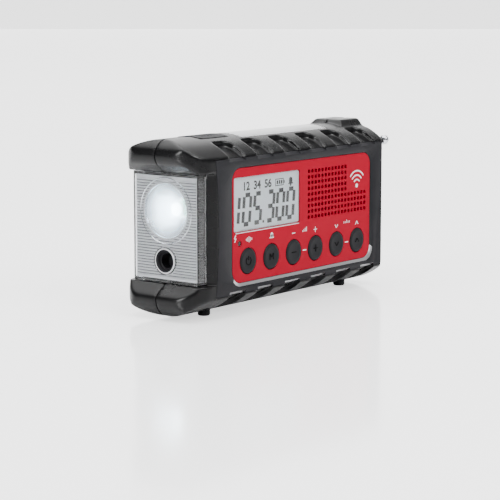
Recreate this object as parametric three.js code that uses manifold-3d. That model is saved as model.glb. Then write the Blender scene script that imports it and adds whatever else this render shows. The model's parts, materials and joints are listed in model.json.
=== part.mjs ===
// Crank-powered emergency radio, in millimetres, +Z up, front towards -Y, flashlight end towards -X.
// The origin is the centre of the whole object's footprint, on the surface that its feet stand on.
import * as THREE from 'three';
import { mergeVertices } from 'three/addons/utils/BufferGeometryUtils.js';
import Module from 'manifold-3d';

const wasm = await Module();
wasm.setup();

// Case
const caseLength = 178.5;
const caseDepth = 54;
const faceHeight = 76.5; // height of the flat front and rear faces
const crownHeight = 96.6; // height over the crowned top and bottom
const footStand = 1.3; // how far the feet stand below the crown
const wall = 2.5;
const crownWall = 6;
const rightWall = 4.5;
const gap = 0.3; // clearance between pieces that touch
const overcut = 5; // how far a cutter runs past what it cuts
const caseSegments = 8; // straight pieces in each crowned arc

// Flashlight end
const bumperReach = 16; // how far the end bumpers reach past the end wall
const bumperNoseHeight = 36.5; // height of the nose above mid-height
const planRound = 15; // rounding of the end corners, seen from above, across the depth
const lensHeight = 60;
const lensWidth = 46;
const lensReach = 7.9;
const lensWall = 1.5;
const lampRise = 9.3; // lamp centre above mid-height
const lampRadius = 15.4;
const lampDepth = 11;
const sounderDrop = 18; // sounder centre below mid-height
const sounderRadius = 7.2;
const sounderDepth = 13;

// Armour pockets
const pocketCount = 6;
const pocketPitch = 25;
const pocketWidth = 14;
const pocketReach = 13; // how far a pocket runs back from the face
const pocketEdgeDrop = 2.4;
const pocketCrownDrop = 3;
const firstPocket = 30.6; // first pocket's start, from the flashlight end
const pocketCorner = 6;

// Hump over the right end
const humpRise = 2.2;
const humpLength = 31;
const humpRamp = 6;
const humpTopWidth = 18;
const humpBaseWidth = 32;

// Front
const bezelThickness = 2.4;
const bezelLip = 0.7;
const bezelLeft = 21.1; // grey bezel's edge, from the flashlight end, at mid-height
const bezelBow = 2.5;
const panelLeft = 34.25; // panel's edge, from the flashlight end
const panelRight = 12.55; // panel's edge, from the right end
const panelMargin = 6.75; // grey border above and below the panel
const panelCorner = 7;
const panelThickness = 1.4;
const panelSink = 1;
const panelLedge = 2;
const windowCorner = 2; // corner of the shell's window behind the panel
const bevelWidth = 1.5;
const screenWidth = 59.4;
const screenHeight = 29.4;
const screenInset = 1.7; // from the panel's left edge
const screenRise = 11.5; // screen centre above mid-height
const screenThickness = 0.9;
const moduleThickness = 4;
const keyNames = ['power', 'menu', 'minus', 'plus', 'down', 'up'];
const keyPitch = 20.96;
const keyRadius = 7.1;
const flangeRadius = keyRadius + 1.3;
const keySides = 14; // a cap and its hole are cut with the same facets
const keyHoleGap = 0.4;
const firstKey = 13.8; // first key's centre, from the panel's left edge
const keyDrop = 20.2; // key centres below mid-height
const keyProud = 0.6;
const keyTravel = 0.8;
const keyStem = 3;
const lampHoleRadius = 1.7;
const chargeLampInset = 6.4;
const chargeLampDrop = 10;
const grillePitch = 3.3;
const grilleHole = 2.1;
const grilleRows = 9;
const grilleColumns = 18;
const shortColumns = 12; // columns in the upper rows
const shortRows = 5;
const grilleInset = 5.3; // last column's centre, from the panel's right edge
const grilleTop = 24.7; // top row above mid-height
const boardThickness = 1.6;
const boardDepth = 8; // board's front, behind the face
const switchSize = 5;
const switchHeight = 1.2;

// Speaker
const speakerRadius = 17.5;
const speakerRim = 3;
const speakerDepth = 11;
const magnetRadius = 9;
const magnetDepth = 5;

// Top
const lightButtonLeft = 28; // from the flashlight end
const lightButtonLength = 24;
const lightButtonWidth = 18;
const lightButtonTravel = 0.8;
const lightButtonProud = 0.3;
const solarLeft = 60; // from the flashlight end
const solarRight = 37; // from the right end
const solarWidth = 24;
const solarCoverThickness = 1.2;
const solarCellThickness = 0.6;

// Crank
const crankInset = 42.5; // crank axis, from the right end
const wellRadius = 34;
const wellDepth = 15.5;
const wellFloor = 2;
const hubRadius = 10;
const hubThickness = 3.2;
const shaftRadius = 3.5;
const armPivotOffset = 8;
const armPivotDepth = 3.2; // pin axis below the rear face
const armWidth = 13;
const armThickness = 5;
const knobWallSpace = 10; // from the knob to the wall of the well
const armPinToKnob = armPivotOffset + wellRadius - knobWallSpace;
const earThickness = 2.8;
const tongueWidth = 8.6;
const pinRadius = 1.4;
const knobRadius = 6.6;
const knobPostRadius = 2.4;
const knobFloorGap = 1;

// Gears: module 1
const crankTeeth = 36;
const idlerPinionTeeth = 12;
const idlerTeeth = 30;
const pinionTeeth = 10;
const gearThickness = 4;
const wheelThickness = 3;
const toothShare = 0.36; // tooth width over the pitch
const toothOut = 0.75;
const toothIn = 1.1;
const idlerAngle = -3 * Math.PI / 4;
const axleRadius = 1.5;
const framePlate = 1.5;
const postRadius = 2.5;
const generatorRadius = 11;
const generatorLength = 11;

// Battery bay
const bayLeft = 27.75; // bay's inside, from the flashlight end
const cellRadius = 7.1;
const cellLength = 50.2;
const cellCount = 3;
const cellSpacing = 15.2;
const baySlack = 1.4;
const bayWall = 1.5;
const doorLedge = 3.5;
const doorThickness = 2;
const packLength = 50;
const packHeight = 36;
const packThickness = 8;

// Sockets and their cover
const coverWidth = 26;
const coverHeight = 26;
const coverThickness = 1.8;
const coverCentre = -4;
const coverDrop = 16;

// Screws and feet
const screwHeadRadius = 3;
const screwRadius = 1.3;
const bossRadius = 3.6;
const screwLength = 36;
const screwInset = 6.2; // from the right end
const screwLeftInset = 23.3; // from the flashlight end
const screwHeight = 32.5;
const footRadius = 3.5;
const footInset = 3.4; // how far a foot reaches up into its seat
const footSpread = 20;
const footLeft = 29;
const footRight = 21;

// Antenna
const antennaRise = 37.3;
const antennaDepth = 19; // swing axis behind mid-depth
const antennaOut = 7.8; // rod axis, from the right end
const ballRadius = 3;
const ballFront = 22.5;
const sectionCount = 6;
const sectionRadius = 2.85;
const sectionStep = 0.38;
const sectionWall = 0.28;
const sectionPeep = 0.7; // how far each section shows past the one around it
const tubeStart = 6; // first tube's start, from the tilt pin
const tubeLength = 29.4;
const knuckleRadius = 5.5;
const knucklePlate = 1.5;
const antennaBaseThickness = 3;
const cheekThickness = 2.2;
const cheekGap = 4.4;

// Places worked out from the sizes
const leftEnd = -caseLength / 2;
const rightEnd = caseLength / 2;
const midHeight = crownHeight / 2 + footStand;
const halfDepth = caseDepth / 2;
const halfFace = faceHeight / 2;
const crown = crownHeight / 2;
const endWallLeft = leftEnd + bumperReach;
const lensFace = endWallLeft - gap - lensReach;
const bezelBack = -halfDepth + bezelThickness;
const frontWallFront = bezelBack + gap;
const frontWallBack = frontWallFront + 2;
const cavityLeft = endWallLeft + wall;
const cavityRight = rightEnd - rightWall;
const panelStart = leftEnd + panelLeft;
const panelEnd = rightEnd - panelRight;
const panelHalf = halfFace - panelMargin;
const panelFront = -halfDepth + panelSink;
const panelBack = panelFront + panelThickness;
const crankX = rightEnd - crankInset;
const antennaX = rightEnd + antennaOut;
const antennaEnd = antennaX + ballRadius;

const materials = {
  armour: new THREE.MeshStandardMaterial({ color: 0x151517, roughness: 0.4, metalness: 0 }),
  bezel: new THREE.MeshStandardMaterial({ color: 0x45454c, roughness: 0.5, metalness: 0 }),
  panel: new THREE.MeshStandardMaterial({ color: 0xb81e30, roughness: 0.35, metalness: 0 }),
  rubber: new THREE.MeshStandardMaterial({ color: 0x2c2c30, roughness: 0.75, metalness: 0 }),
  clear: new THREE.MeshStandardMaterial({ color: 0xe8eef2, roughness: 0.05, metalness: 0 }),
  screen: new THREE.MeshStandardMaterial({ color: 0xcdd7df, roughness: 0.4, metalness: 0 }),
  silver: new THREE.MeshStandardMaterial({ color: 0xd8dade, roughness: 0.25, metalness: 1 }),
  steel: new THREE.MeshStandardMaterial({ color: 0xb8bbc0, roughness: 0.3, metalness: 1 }),
  board: new THREE.MeshStandardMaterial({ color: 0x1d5b37, roughness: 0.5, metalness: 0 }),
  cells: new THREE.MeshStandardMaterial({ color: 0x141c3a, roughness: 0.25, metalness: 0 }),
  gear: new THREE.MeshStandardMaterial({ color: 0xe6e2d4, roughness: 0.5, metalness: 0 }),
  cone: new THREE.MeshStandardMaterial({ color: 0x26262a, roughness: 0.9, metalness: 0 }),
  battery: new THREE.MeshStandardMaterial({ color: 0x2f6fae, roughness: 0.4, metalness: 0 }),
};

const radio = new THREE.Group();
radio.position.set(-(leftEnd + antennaEnd) / 2, 0, midHeight);

function place(name, geometry, material, parent = radio) {
  const mesh = new THREE.Mesh(geometry, material);
  mesh.name = name;
  parent.add(mesh);
  return mesh;
}

// A closed three.js geometry as a solid that can be joined and cut
function solid(geometry) {
  const bare = geometry.index ? geometry.toNonIndexed() : geometry.clone();
  bare.deleteAttribute('normal');
  bare.deleteAttribute('uv');
  const merged = mergeVertices(bare, 1e-4);
  const vertProperties = new Float32Array(merged.attributes.position.array);
  const triVerts = new Uint32Array(merged.index.array);
  return new wasm.Manifold(new wasm.Mesh({ numProp: 3, vertProperties, triVerts }));
}

function surface(body) {
  const mesh = body.getMesh();
  const geometry = new THREE.BufferGeometry();
  geometry.setAttribute('position', new THREE.BufferAttribute(new Float32Array(mesh.vertProperties), 3));
  geometry.setIndex(new THREE.BufferAttribute(new Uint32Array(mesh.triVerts), 1));
  geometry.computeVertexNormals();
  return geometry;
}

function block(x0, x1, y0, y1, z0, z1) {
  const geometry = new THREE.BoxGeometry(x1 - x0, y1 - y0, z1 - z0);
  return geometry.translate((x0 + x1) / 2, (y0 + y1) / 2, (z0 + z1) / 2);
}

const alongXBasis = new THREE.Matrix4().makeBasis(
  new THREE.Vector3(0, 1, 0),
  new THREE.Vector3(0, 0, 1),
  new THREE.Vector3(1, 0, 0),
);

// An outline in (y, z), drawn out along X
function alongX(shape, x0, x1, curveSegments = 10) {
  const geometry = new THREE.ExtrudeGeometry(shape, { depth: x1 - x0, bevelEnabled: false,
    curveSegments });
  return geometry.applyMatrix4(alongXBasis).translate(x0, 0, 0);
}

// An outline in (x, z), drawn out along Y
function alongY(shape, y0, y1, curveSegments = 6) {
  const geometry = new THREE.ExtrudeGeometry(shape, { depth: y1 - y0, bevelEnabled: false,
    curveSegments });
  return geometry.rotateX(Math.PI / 2).translate(0, y1, 0);
}

// An outline in (x, y), drawn out along Z
function alongZ(shape, z0, z1, curveSegments = 6) {
  const geometry = new THREE.ExtrudeGeometry(shape, { depth: z1 - z0, bevelEnabled: false,
    curveSegments });
  return geometry.translate(0, 0, z0);
}

// A round bar along Y, around x, z
function rodY(x, z, radius, y0, y1, sides = 16) {
  const geometry = new THREE.CylinderGeometry(radius, radius, y1 - y0, sides);
  return geometry.translate(x, (y0 + y1) / 2, z);
}

// A round bar along X, around y, z
function rodX(y, z, radius, x0, x1, sides = 16) {
  const geometry = new THREE.CylinderGeometry(radius, radius, x1 - x0, sides);
  return geometry.rotateZ(Math.PI / 2).translate((x0 + x1) / 2, y, z);
}

// A round bar along Z, around x, y
function rodZ(x, y, radius, z0, z1, sides = 16) {
  const geometry = new THREE.CylinderGeometry(radius, radius, z1 - z0, sides);
  return geometry.rotateX(Math.PI / 2).translate(x, y, (z0 + z1) / 2);
}

function polygon(points) {
  return new THREE.Shape(points.map(([a, b]) => new THREE.Vector2(a, b)));
}

function roundedRectangle(a0, a1, b0, b1, radius) {
  const shape = new THREE.Shape();
  shape.absarc(a1 - radius, b1 - radius, radius, 0, Math.PI / 2);
  shape.absarc(a0 + radius, b1 - radius, radius, Math.PI / 2, Math.PI);
  shape.absarc(a0 + radius, b0 + radius, radius, Math.PI, 1.5 * Math.PI);
  shape.absarc(a1 - radius, b0 + radius, radius, 1.5 * Math.PI, 2 * Math.PI);
  shape.closePath();
  return shape;
}

// Section of the case across its length: flat faces and an arc over the top and the bottom
function crownedSection(half, edge, top) {
  const rise = top - edge;
  const radius = (half * half + rise * rise) / (2 * rise);
  const spread = Math.asin(half / radius);
  const shape = new THREE.Shape();
  shape.absarc(0, top - radius, radius, Math.PI / 2 - spread, Math.PI / 2 + spread);
  shape.absarc(0, radius - top, radius, -Math.PI / 2 - spread, -Math.PI / 2 + spread);
  shape.closePath();
  return shape;
}

function crownedBar(half, edge, top, x0, x1, segments = 10) {
  return solid(alongX(crownedSection(half, edge, top), x0, x1, segments));
}

// Outline of the case from above, with rounded corners at the flashlight end
function planOutline() {
  const reach = bumperReach + 1;
  const small = 2;
  const shape = new THREE.Shape();
  shape.absellipse(leftEnd + reach, halfDepth - planRound, reach, planRound, Math.PI / 2, Math.PI);
  shape.absellipse(leftEnd + reach, planRound - halfDepth, reach, planRound, Math.PI, 1.5 * Math.PI);
  shape.absarc(rightEnd - small, small - halfDepth, small, 1.5 * Math.PI, 2 * Math.PI);
  shape.absarc(rightEnd - small, halfDepth - small, small, 0, Math.PI / 2);
  shape.closePath();
  return shape;
}

// Outline of the case from the front: two bumper noses with the lens between them
function sideOutline() {
  const reach = bumperReach + 1;
  const top = crown + 0.2;
  const noseRound = top - bumperNoseHeight;
  const lensEdge = lensHeight / 2 + gap;
  const underside = lensEdge + 1.4;
  const underRound = bumperNoseHeight - underside;
  const corner = 5;
  const shape = new THREE.Shape();
  shape.absellipse(leftEnd + reach, bumperNoseHeight, reach, noseRound, Math.PI / 2, Math.PI);
  shape.absellipse(leftEnd + underRound * 0.6, bumperNoseHeight, underRound * 0.6, underRound, Math.PI,
    1.5 * Math.PI);
  shape.lineTo(lensFace, lensEdge);
  shape.lineTo(endWallLeft, lensEdge);
  shape.lineTo(endWallLeft, -lensEdge);
  shape.lineTo(lensFace, -lensEdge);
  shape.absellipse(
    leftEnd + underRound * 0.6, -bumperNoseHeight, underRound * 0.6, underRound, Math.PI / 2, Math.PI,
  );
  shape.absellipse(leftEnd + reach, -bumperNoseHeight, reach, noseRound, Math.PI, 1.5 * Math.PI);
  shape.absarc(rightEnd - corner, corner - top, corner, 1.5 * Math.PI, 2 * Math.PI);
  shape.absarc(rightEnd - corner, top - corner, corner, 0, Math.PI / 2);
  shape.closePath();
  return shape;
}

function hump() {
  const rampFoot = rightEnd - humpLength;
  const top = crown + humpRise;
  const base = crown - crownWall / 2;
  const side = polygon([
    [rampFoot, base],
    [rightEnd, base],
    [rightEnd, top - 2],
    [rightEnd - 2, top],
    [rampFoot + humpRamp, top],
  ]);
  const across = polygon([
    [-humpBaseWidth / 2, base - 2],
    [humpBaseWidth / 2, base - 2],
    [humpTopWidth / 2, top],
    [-humpTopWidth / 2, top],
  ]);
  return solid(alongY(side, -halfDepth, halfDepth)).intersect(solid(alongX(across, rampFoot, rightEnd)));
}

// One armour pocket, seen from above, on the front edge; it is cut only down to the pocket floor
function pocketOutline(start) {
  const end = start + pocketWidth;
  const back = pocketReach - halfDepth;
  const shape = new THREE.Shape();
  shape.moveTo(start, -halfDepth - overcut);
  shape.lineTo(end, -halfDepth - overcut);
  shape.lineTo(end, back - pocketCorner);
  shape.absarc(end - pocketCorner, back - pocketCorner, pocketCorner, 0, Math.PI / 2);
  shape.lineTo(start, back);
  shape.closePath();
  return shape;
}

// All the armour pockets of the front or the rear, top and bottom
function armourPockets(side) {
  let pockets = null;
  for (let i = 0; i < pocketCount; i += 1) {
    const start = leftEnd + firstPocket + i * pocketPitch;
    const bar = alongZ(pocketOutline(start), -crown - overcut, crown + overcut, 3);
    if (side > 0) {
      bar.rotateX(Math.PI);
    }
    const column = solid(bar);
    pockets = pockets ? pockets.add(column) : column;
  }
  const floorEdge = halfFace - pocketEdgeDrop;
  const floor = crownedBar(halfDepth, floorEdge, crown - pocketCrownDrop, leftEnd, rightEnd, 6);
  const deeper = block(leftEnd, rightEnd, -halfDepth - overcut, halfDepth + overcut, -floorEdge,
    floorEdge);
  return pockets.subtract(floor).subtract(solid(deeper));
}

// The flashlight end's recess: past the end wall, and round the edge to the faces
function lensRecess() {
  const lensEdge = lensHeight / 2 + gap;
  const turn = leftEnd + bezelLeft - bezelLip - endWallLeft;
  const depth = halfDepth - lensWidth / 2;
  const faceEdge = endWallLeft + turn;
  const outside = halfDepth + overcut;
  const shape = new THREE.Shape();
  shape.moveTo(leftEnd - overcut, -outside);
  shape.lineTo(faceEdge, -outside);
  shape.absellipse(faceEdge, depth - halfDepth, turn, depth, 1.5 * Math.PI, Math.PI, true);
  shape.absellipse(faceEdge, halfDepth - depth, turn, depth, Math.PI, Math.PI / 2, true);
  shape.lineTo(faceEdge, outside);
  shape.lineTo(leftEnd - overcut, outside);
  shape.closePath();
  return solid(alongZ(shape, -lensEdge, lensEdge, 5));
}

function wholeCase() {
  const tall = crown + humpRise + overcut;
  const section = crownedBar(halfDepth, halfFace, crown, leftEnd, rightEnd, caseSegments);
  const plan = solid(alongZ(planOutline(), -tall, tall, 4));
  const side = solid(alongY(sideOutline(), -halfDepth - overcut, halfDepth + overcut, 4));
  return section.intersect(side).add(hump()).intersect(plan).subtract(lensRecess());
}

function half(body, side) {
  const near = side < 0 ? -halfDepth - overcut : gap / 2;
  const far = side < 0 ? -gap / 2 : halfDepth + overcut;
  const tall = crown + humpRise + overcut;
  return body.intersect(solid(block(leftEnd - overcut, rightEnd + overcut, near, far, -tall, tall)));
}

function screwPlaces() {
  const places = [];
  for (const x of [leftEnd + screwLeftInset, rightEnd - screwInset]) {
    for (const z of [-screwHeight, screwHeight]) {
      places.push([x, z]);
    }
  }
  return places;
}

const footPlaces = [];
for (const x of [leftEnd + footLeft, rightEnd - footRight]) {
  for (const y of [-footSpread / 2, footSpread / 2]) {
    footPlaces.push([x, y]);
  }
}

const lightStart = leftEnd + lightButtonLeft;
const lightEnd = lightStart + lightButtonLength;
const solarStart = leftEnd + solarLeft;
const solarEnd = rightEnd - solarRight;
const solarFloor = crown - crownWall + 1.8;
const lightFloor = crown - 3.5;
const lightStemRadius = 2.5;
const coverBottom = -coverDrop - coverHeight / 2;
const coverTop = coverBottom + coverHeight;
const coverFront = coverCentre - coverWidth / 2;
const coverBack = coverFront + coverWidth;
const socketSpecs = [
  { name: 'usb_socket', y: -8.5, z: -10.5, width: 13, height: 6, length: 13 },
  { name: 'micro_usb_socket', y: -8.5, z: -20.5, width: 8, height: 3.4, length: 8 },
  { name: 'earphone_jack', y: 2.5, z: -15, width: 6.4, height: 6.4, length: 12 },
];

// Openings that both halves of the case share at the parting line
function sharedCuts() {
  let cuts = solid(rodX(0, lampRise, lampRadius, endWallLeft - overcut, cavityLeft + overcut, 16));
  cuts = cuts.add(solid(rodX(0, -sounderDrop, sounderRadius, endWallLeft - overcut,
    cavityLeft + overcut)));
  const lightHalf = lightButtonWidth / 2 + gap;
  const lightRecess = block(lightStart - gap, lightEnd + gap, -lightHalf, lightHalf, lightFloor,
    crown + overcut);
  cuts = cuts.add(solid(lightRecess));
  const lightMiddle = (lightStart + lightEnd) / 2;
  cuts = cuts.add(solid(rodZ(lightMiddle, 0, lightStemRadius + gap, 0, crown)));
  const solarHalf = solarWidth / 2 + gap;
  const solarRecess = block(solarStart - gap, solarEnd + gap, -solarHalf, solarHalf, solarFloor,
    crown + overcut);
  cuts = cuts.add(solid(solarRecess));
  const recess = rightEnd - coverThickness - gap;
  cuts = cuts.add(solid(block(
    recess, rightEnd + overcut, coverFront - gap, coverBack + gap, coverBottom - gap, coverTop + gap,
  )));
  for (const { y, z, width, height } of socketSpecs) {
    const across = width / 2 + gap;
    const tall = height / 2 + gap;
    cuts = cuts.add(solid(block(cavityRight - overcut, rightEnd, y - across, y + across, z - tall,
      z + tall)));
  }
  for (const [x, y] of footPlaces) {
    cuts = cuts.add(solid(rodZ(x, y, footRadius + gap, -midHeight - overcut,
      footInset + gap - midHeight)));
  }
  return cuts;
}

const caseBody = wholeCase();
const caseCuts = sharedCuts();
const cavityEdge = halfFace - 4;
const cavityCrown = crown - crownWall;

function makeFrontShell() {
  const outer = half(caseBody, -1);
  const inside = frontWallBack;
  let cavity = crownedBar(-inside, cavityEdge, cavityCrown, cavityLeft, cavityRight, 6);
  for (const [x, z] of screwPlaces()) {
    cavity = cavity.subtract(solid(rodY(x, z, bossRadius, inside - 1, 0, 8)));
  }
  let shell = outer.subtract(cavity).subtract(caseCuts).subtract(armourPockets(-1));
  // the bezel's seat, with a lip left around it
  shell = shell.subtract(solid(alongY(bezelOutline(0), -halfDepth - overcut, frontWallFront, 8)));
  const window = roundedRectangle(
    panelStart + panelLedge, panelEnd - panelLedge, panelLedge - panelHalf, panelHalf - panelLedge,
    windowCorner,
  );
  shell = shell.subtract(solid(alongY(window, frontWallFront - overcut, frontWallBack + 1, 3)));
  for (let i = 0; i < keyNames.length; i += 1) {
    const space = flangeRadius + gap;
    const keySpace = rodY(keyX(i), -keyDrop, space, frontWallFront - overcut, frontWallBack + 1, 16);
    shell = shell.subtract(solid(keySpace));
  }
  for (const [x, z] of screwPlaces()) {
    const tip = halfDepth - 3 - screwLength - 1;
    shell = shell.subtract(solid(rodY(x, z, screwRadius + gap, tip, overcut, 6)));
  }
  return shell;
}

// Outline of the grey bezel, or of its seat when nothing is taken off for clearance
function bezelOutline(clearance) {
  const inset = bezelLip + clearance;
  const left = leftEnd + bezelLeft + clearance;
  const right = rightEnd - inset;
  const top = halfFace - inset;
  const shape = new THREE.Shape();
  shape.moveTo(right, -top);
  shape.lineTo(right, top);
  shape.lineTo(left - bezelBow, top);
  shape.quadraticCurveTo(left + bezelBow, 0, left - bezelBow, -top);
  shape.closePath();
  return shape;
}

function makeBezel() {
  const plate = solid(alongY(bezelOutline(gap), -halfDepth, bezelBack, 8));
  const opening = roundedRectangle(
    panelStart - gap, panelEnd + gap, -panelHalf - gap, panelHalf + gap, panelCorner + gap,
  );
  const flare = new THREE.ExtrudeGeometry(opening, {
    depth: overcut,
    bevelThickness: panelSink,
    bevelSize: bevelWidth,
    bevelSegments: 1,
    curveSegments: 6,
  });
  flare.rotateX(Math.PI / 2).translate(0, -halfDepth, 0);
  return plate
    .subtract(solid(alongY(opening, -halfDepth - overcut, bezelBack + overcut, 6)))
    .subtract(solid(flare))
    .subtract(armourPockets(-1));
}

const screenStart = panelStart + screenInset;
const screenEnd = screenStart + screenWidth;
const screenBottom = screenRise - screenHeight / 2;
const screenTop = screenBottom + screenHeight;
const keyX = (index) => panelStart + firstKey + index * keyPitch;
const chargeLampX = panelStart + chargeLampInset;
const grilleEnd = panelEnd - grilleInset;
const grilleStart = grilleEnd - (grilleColumns - 1) * grillePitch;
const speakerX = (grilleStart + grilleEnd) / 2;
const speakerRise = grilleTop - (grilleRows - 1) * grillePitch / 2;

function disc(x, z, radius) {
  const shape = new THREE.Shape();
  shape.absarc(x, z, radius, 0, 2 * Math.PI);
  return shape;
}

function makePanel() {
  const shape = roundedRectangle(panelStart, panelEnd, -panelHalf, panelHalf, panelCorner);
  const holes = [roundedRectangle(screenStart - gap, screenEnd + gap, screenBottom - gap,
    screenTop + gap, 1)];
  for (let i = 0; i < keyNames.length; i += 1) {
    holes.push(disc(keyX(i), -keyDrop, keyRadius + keyHoleGap));
  }
  holes.push(disc(chargeLampX, -chargeLampDrop, lampHoleRadius));
  const r = grilleHole / 2;
  for (let row = 0; row < grilleRows; row += 1) {
    const z = grilleTop - row * grillePitch;
    const columns = row < shortRows ? shortColumns : grilleColumns;
    for (let column = 0; column < columns; column += 1) {
      const x = grilleStart + column * grillePitch;
      holes.push(polygon([[x - r, z - r], [x + r, z - r], [x + r, z + r], [x - r, z + r]]));
    }
  }
  const cutters = solid(alongY(holes, panelFront - overcut, panelBack + overcut, keySides / 2));
  return surface(solid(alongY(shape, panelFront, panelBack, 4)).subtract(cutters));
}

place('front_shell', surface(makeFrontShell()), materials.armour);
place('front_bezel', surface(makeBezel()), materials.bezel);
place('control_panel', makePanel(), materials.panel);

// Display
const windowPlate = roundedRectangle(screenStart, screenEnd, screenBottom, screenTop, 1);
place('lcd_window', alongY(windowPlate, panelBack - screenThickness, panelBack, 3), materials.clear);
const moduleFront = panelBack + gap;
const moduleRim = 1;
place(
  'lcd_module',
  block(
    screenStart + moduleRim, screenEnd + moduleRim, moduleFront, moduleFront + moduleThickness,
    screenBottom - moduleRim, screenTop + moduleRim,
  ),
  materials.screen,
);

// Keys: a cap in the panel's hole, a flange behind the panel and a stem towards the switch
const boardFront = -halfDepth + boardDepth;
const flangeThickness = 0.8;
const stemEnd = boardFront - switchHeight - keyTravel - gap;

function makeKey() {
  const front = panelFront - keyProud;
  const flangeFront = panelBack + gap;
  const profile = [
    [0, front],
    [keyRadius - 0.6, front],
    [keyRadius, front + 0.5],
    [keyRadius, flangeFront],
    [flangeRadius, flangeFront],
    [flangeRadius, flangeFront + flangeThickness],
    [keyStem, flangeFront + flangeThickness],
    [keyStem, stemEnd],
    [0, stemEnd],
  ];
  return new THREE.LatheGeometry(profile.map(([r, y]) => new THREE.Vector2(r, y)), keySides);
}

keyNames.forEach((name, index) => {
  const key = place(`key_${name}`, makeKey(), materials.rubber);
  key.position.set(keyX(index), 0, -keyDrop);
});

const chargeLamp = place(
  'charge_lamp',
  new THREE.CylinderGeometry(lampHoleRadius - gap, lampHoleRadius - gap,
    boardFront - gap - panelFront - 0.4, 10),
  materials.clear,
);
chargeLamp.position.set(chargeLampX, (panelFront + 0.4 + boardFront - gap) / 2, -chargeLampDrop);

// Main board: a left part behind the display and a strip under the speaker, with the key switches
function makeBoard() {
  const left = panelStart + panelLedge;
  const right = keyX(keyNames.length - 1) + flangeRadius;
  const bottom = panelLedge - panelHalf;
  const stripTop = -keyDrop + flangeRadius;
  const middle = screenEnd + 5;
  const outline = polygon([
    [left, bottom],
    [right, bottom],
    [right, stripTop],
    [middle, stripTop],
    [middle, panelHalf - panelLedge],
    [left, panelHalf - panelLedge],
  ]);
  let board = solid(alongY(outline, boardFront, boardFront + boardThickness));
  const s = switchSize / 2;
  for (let i = 0; i < keyNames.length; i += 1) {
    const x = keyX(i);
    board = board.add(solid(block(x - s, x + s, boardFront - switchHeight, boardFront + 0.5,
      -keyDrop - s, s - keyDrop)));
  }
  return board;
}
place('main_board', surface(makeBoard()), materials.board);

// Speaker: an open basket, its cone and the magnet behind
const speakerFront = panelBack + gap;
const basketBack = speakerFront + speakerDepth;

function lathe(points, sides) {
  return new THREE.LatheGeometry(points.map(([r, y]) => new THREE.Vector2(r, y)), sides);
}

const speaker = new THREE.Group();
speaker.position.set(speakerX, 0, speakerRise);
radio.add(speaker);
place('speaker_frame', lathe([
  [speakerRadius - speakerRim, speakerFront],
  [speakerRadius, speakerFront],
  [speakerRadius, speakerFront + 2],
  [magnetRadius + 1, basketBack],
  [magnetRadius - 1, basketBack],
  [speakerRadius - speakerRim, speakerFront + 2],
  [speakerRadius - speakerRim, speakerFront],
], 16), materials.steel, speaker);
place('speaker_cone', lathe([
  [0, speakerFront + 6.4],
  [4, speakerFront + 7],
  [speakerRadius - speakerRim - 1, speakerFront + 0.8],
  [speakerRadius - speakerRim - 1, speakerFront + 1.4],
  [4, speakerFront + 7.8],
  [0, speakerFront + 7.8],
], 16), materials.cone, speaker);
place('speaker_magnet', lathe([
  [0, basketBack + gap],
  [magnetRadius, basketBack + gap],
  [magnetRadius, basketBack + gap + magnetDepth],
  [0, basketBack + gap + magnetDepth],
], 16), materials.steel, speaker);

// Flashlight: a clear cover, a plate behind it, the lamp's cup and board, and the sounder
function makeLens() {
  const w = lensWidth / 2;
  const h = lensHeight / 2;
  const back = endWallLeft - gap;
  const outer = new THREE.Shape();
  const corner = 2;
  outer.absarc(lensFace + corner, w - corner, corner, Math.PI / 2, Math.PI);
  outer.absarc(lensFace + corner, corner - w, corner, Math.PI, 1.5 * Math.PI);
  outer.lineTo(back, -w);
  outer.lineTo(back, w);
  outer.closePath();
  const cover = solid(alongZ(outer, -h, h, 3));
  const inside = block(lensFace + lensWall, back + overcut, lensWall - w, w - lensWall, lensWall - h,
    h - lensWall);
  const hole = rodX(0, -sounderDrop, sounderRadius + gap, lensFace - overcut, lensFace + overcut);
  return cover.subtract(solid(inside)).subtract(solid(hole));
}
place('flashlight_lens', surface(makeLens()), materials.clear);

const plateFront = lensFace + lensWall + gap;
const plateThickness = 1.2;

function makeReflectorPlate() {
  const w = lensWidth / 2 - lensWall - gap;
  const h = lensHeight / 2 - lensWall - gap;
  const plate = solid(block(plateFront, plateFront + plateThickness, -w, w, -h, h));
  const lampHole = rodX(0, lampRise, lampRadius + gap, plateFront - 1, plateFront + plateThickness + 1,
    16);
  const sounderHole = rodX(0, -sounderDrop, sounderRadius + gap, plateFront - 1,
    plateFront + plateThickness + 1);
  return plate.subtract(solid(lampHole)).subtract(solid(sounderHole));
}
place('reflector_plate', surface(makeReflectorPlate()), materials.silver);

const lamp = new THREE.Group();
lamp.position.set(plateFront, 0, lampRise);
lamp.rotation.z = -Math.PI / 2;
radio.add(lamp);
const cupThroat = 4;
const cupWall = 0.8;
place('reflector_cup', lathe([
  [cupThroat, lampDepth],
  [lampRadius * 0.62, lampDepth * 0.62],
  [lampRadius * 0.88, lampDepth * 0.28],
  [lampRadius - cupWall, 0],
  [lampRadius, 0],
  [lampRadius - gap, lampDepth * 0.3],
  [lampRadius * 0.62 + cupWall, lampDepth * 0.7],
  [cupThroat + cupWall, lampDepth + cupWall],
  [cupThroat, lampDepth + cupWall],
  [cupThroat, lampDepth],
], 16), materials.silver, lamp);

const ledBoardFront = lampDepth + cupWall + gap;
const ledBoardHalf = 12;
const ledBoard = block(-ledBoardHalf, ledBoardHalf, ledBoardFront, ledBoardFront + 1.6, -ledBoardHalf,
  ledBoardHalf);
const led = rodY(0, 0, cupThroat - gap - 0.5, ledBoardFront - 3, ledBoardFront + 0.5, 12);
place('led_board', surface(solid(ledBoard).add(solid(led))), materials.board, lamp);

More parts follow.
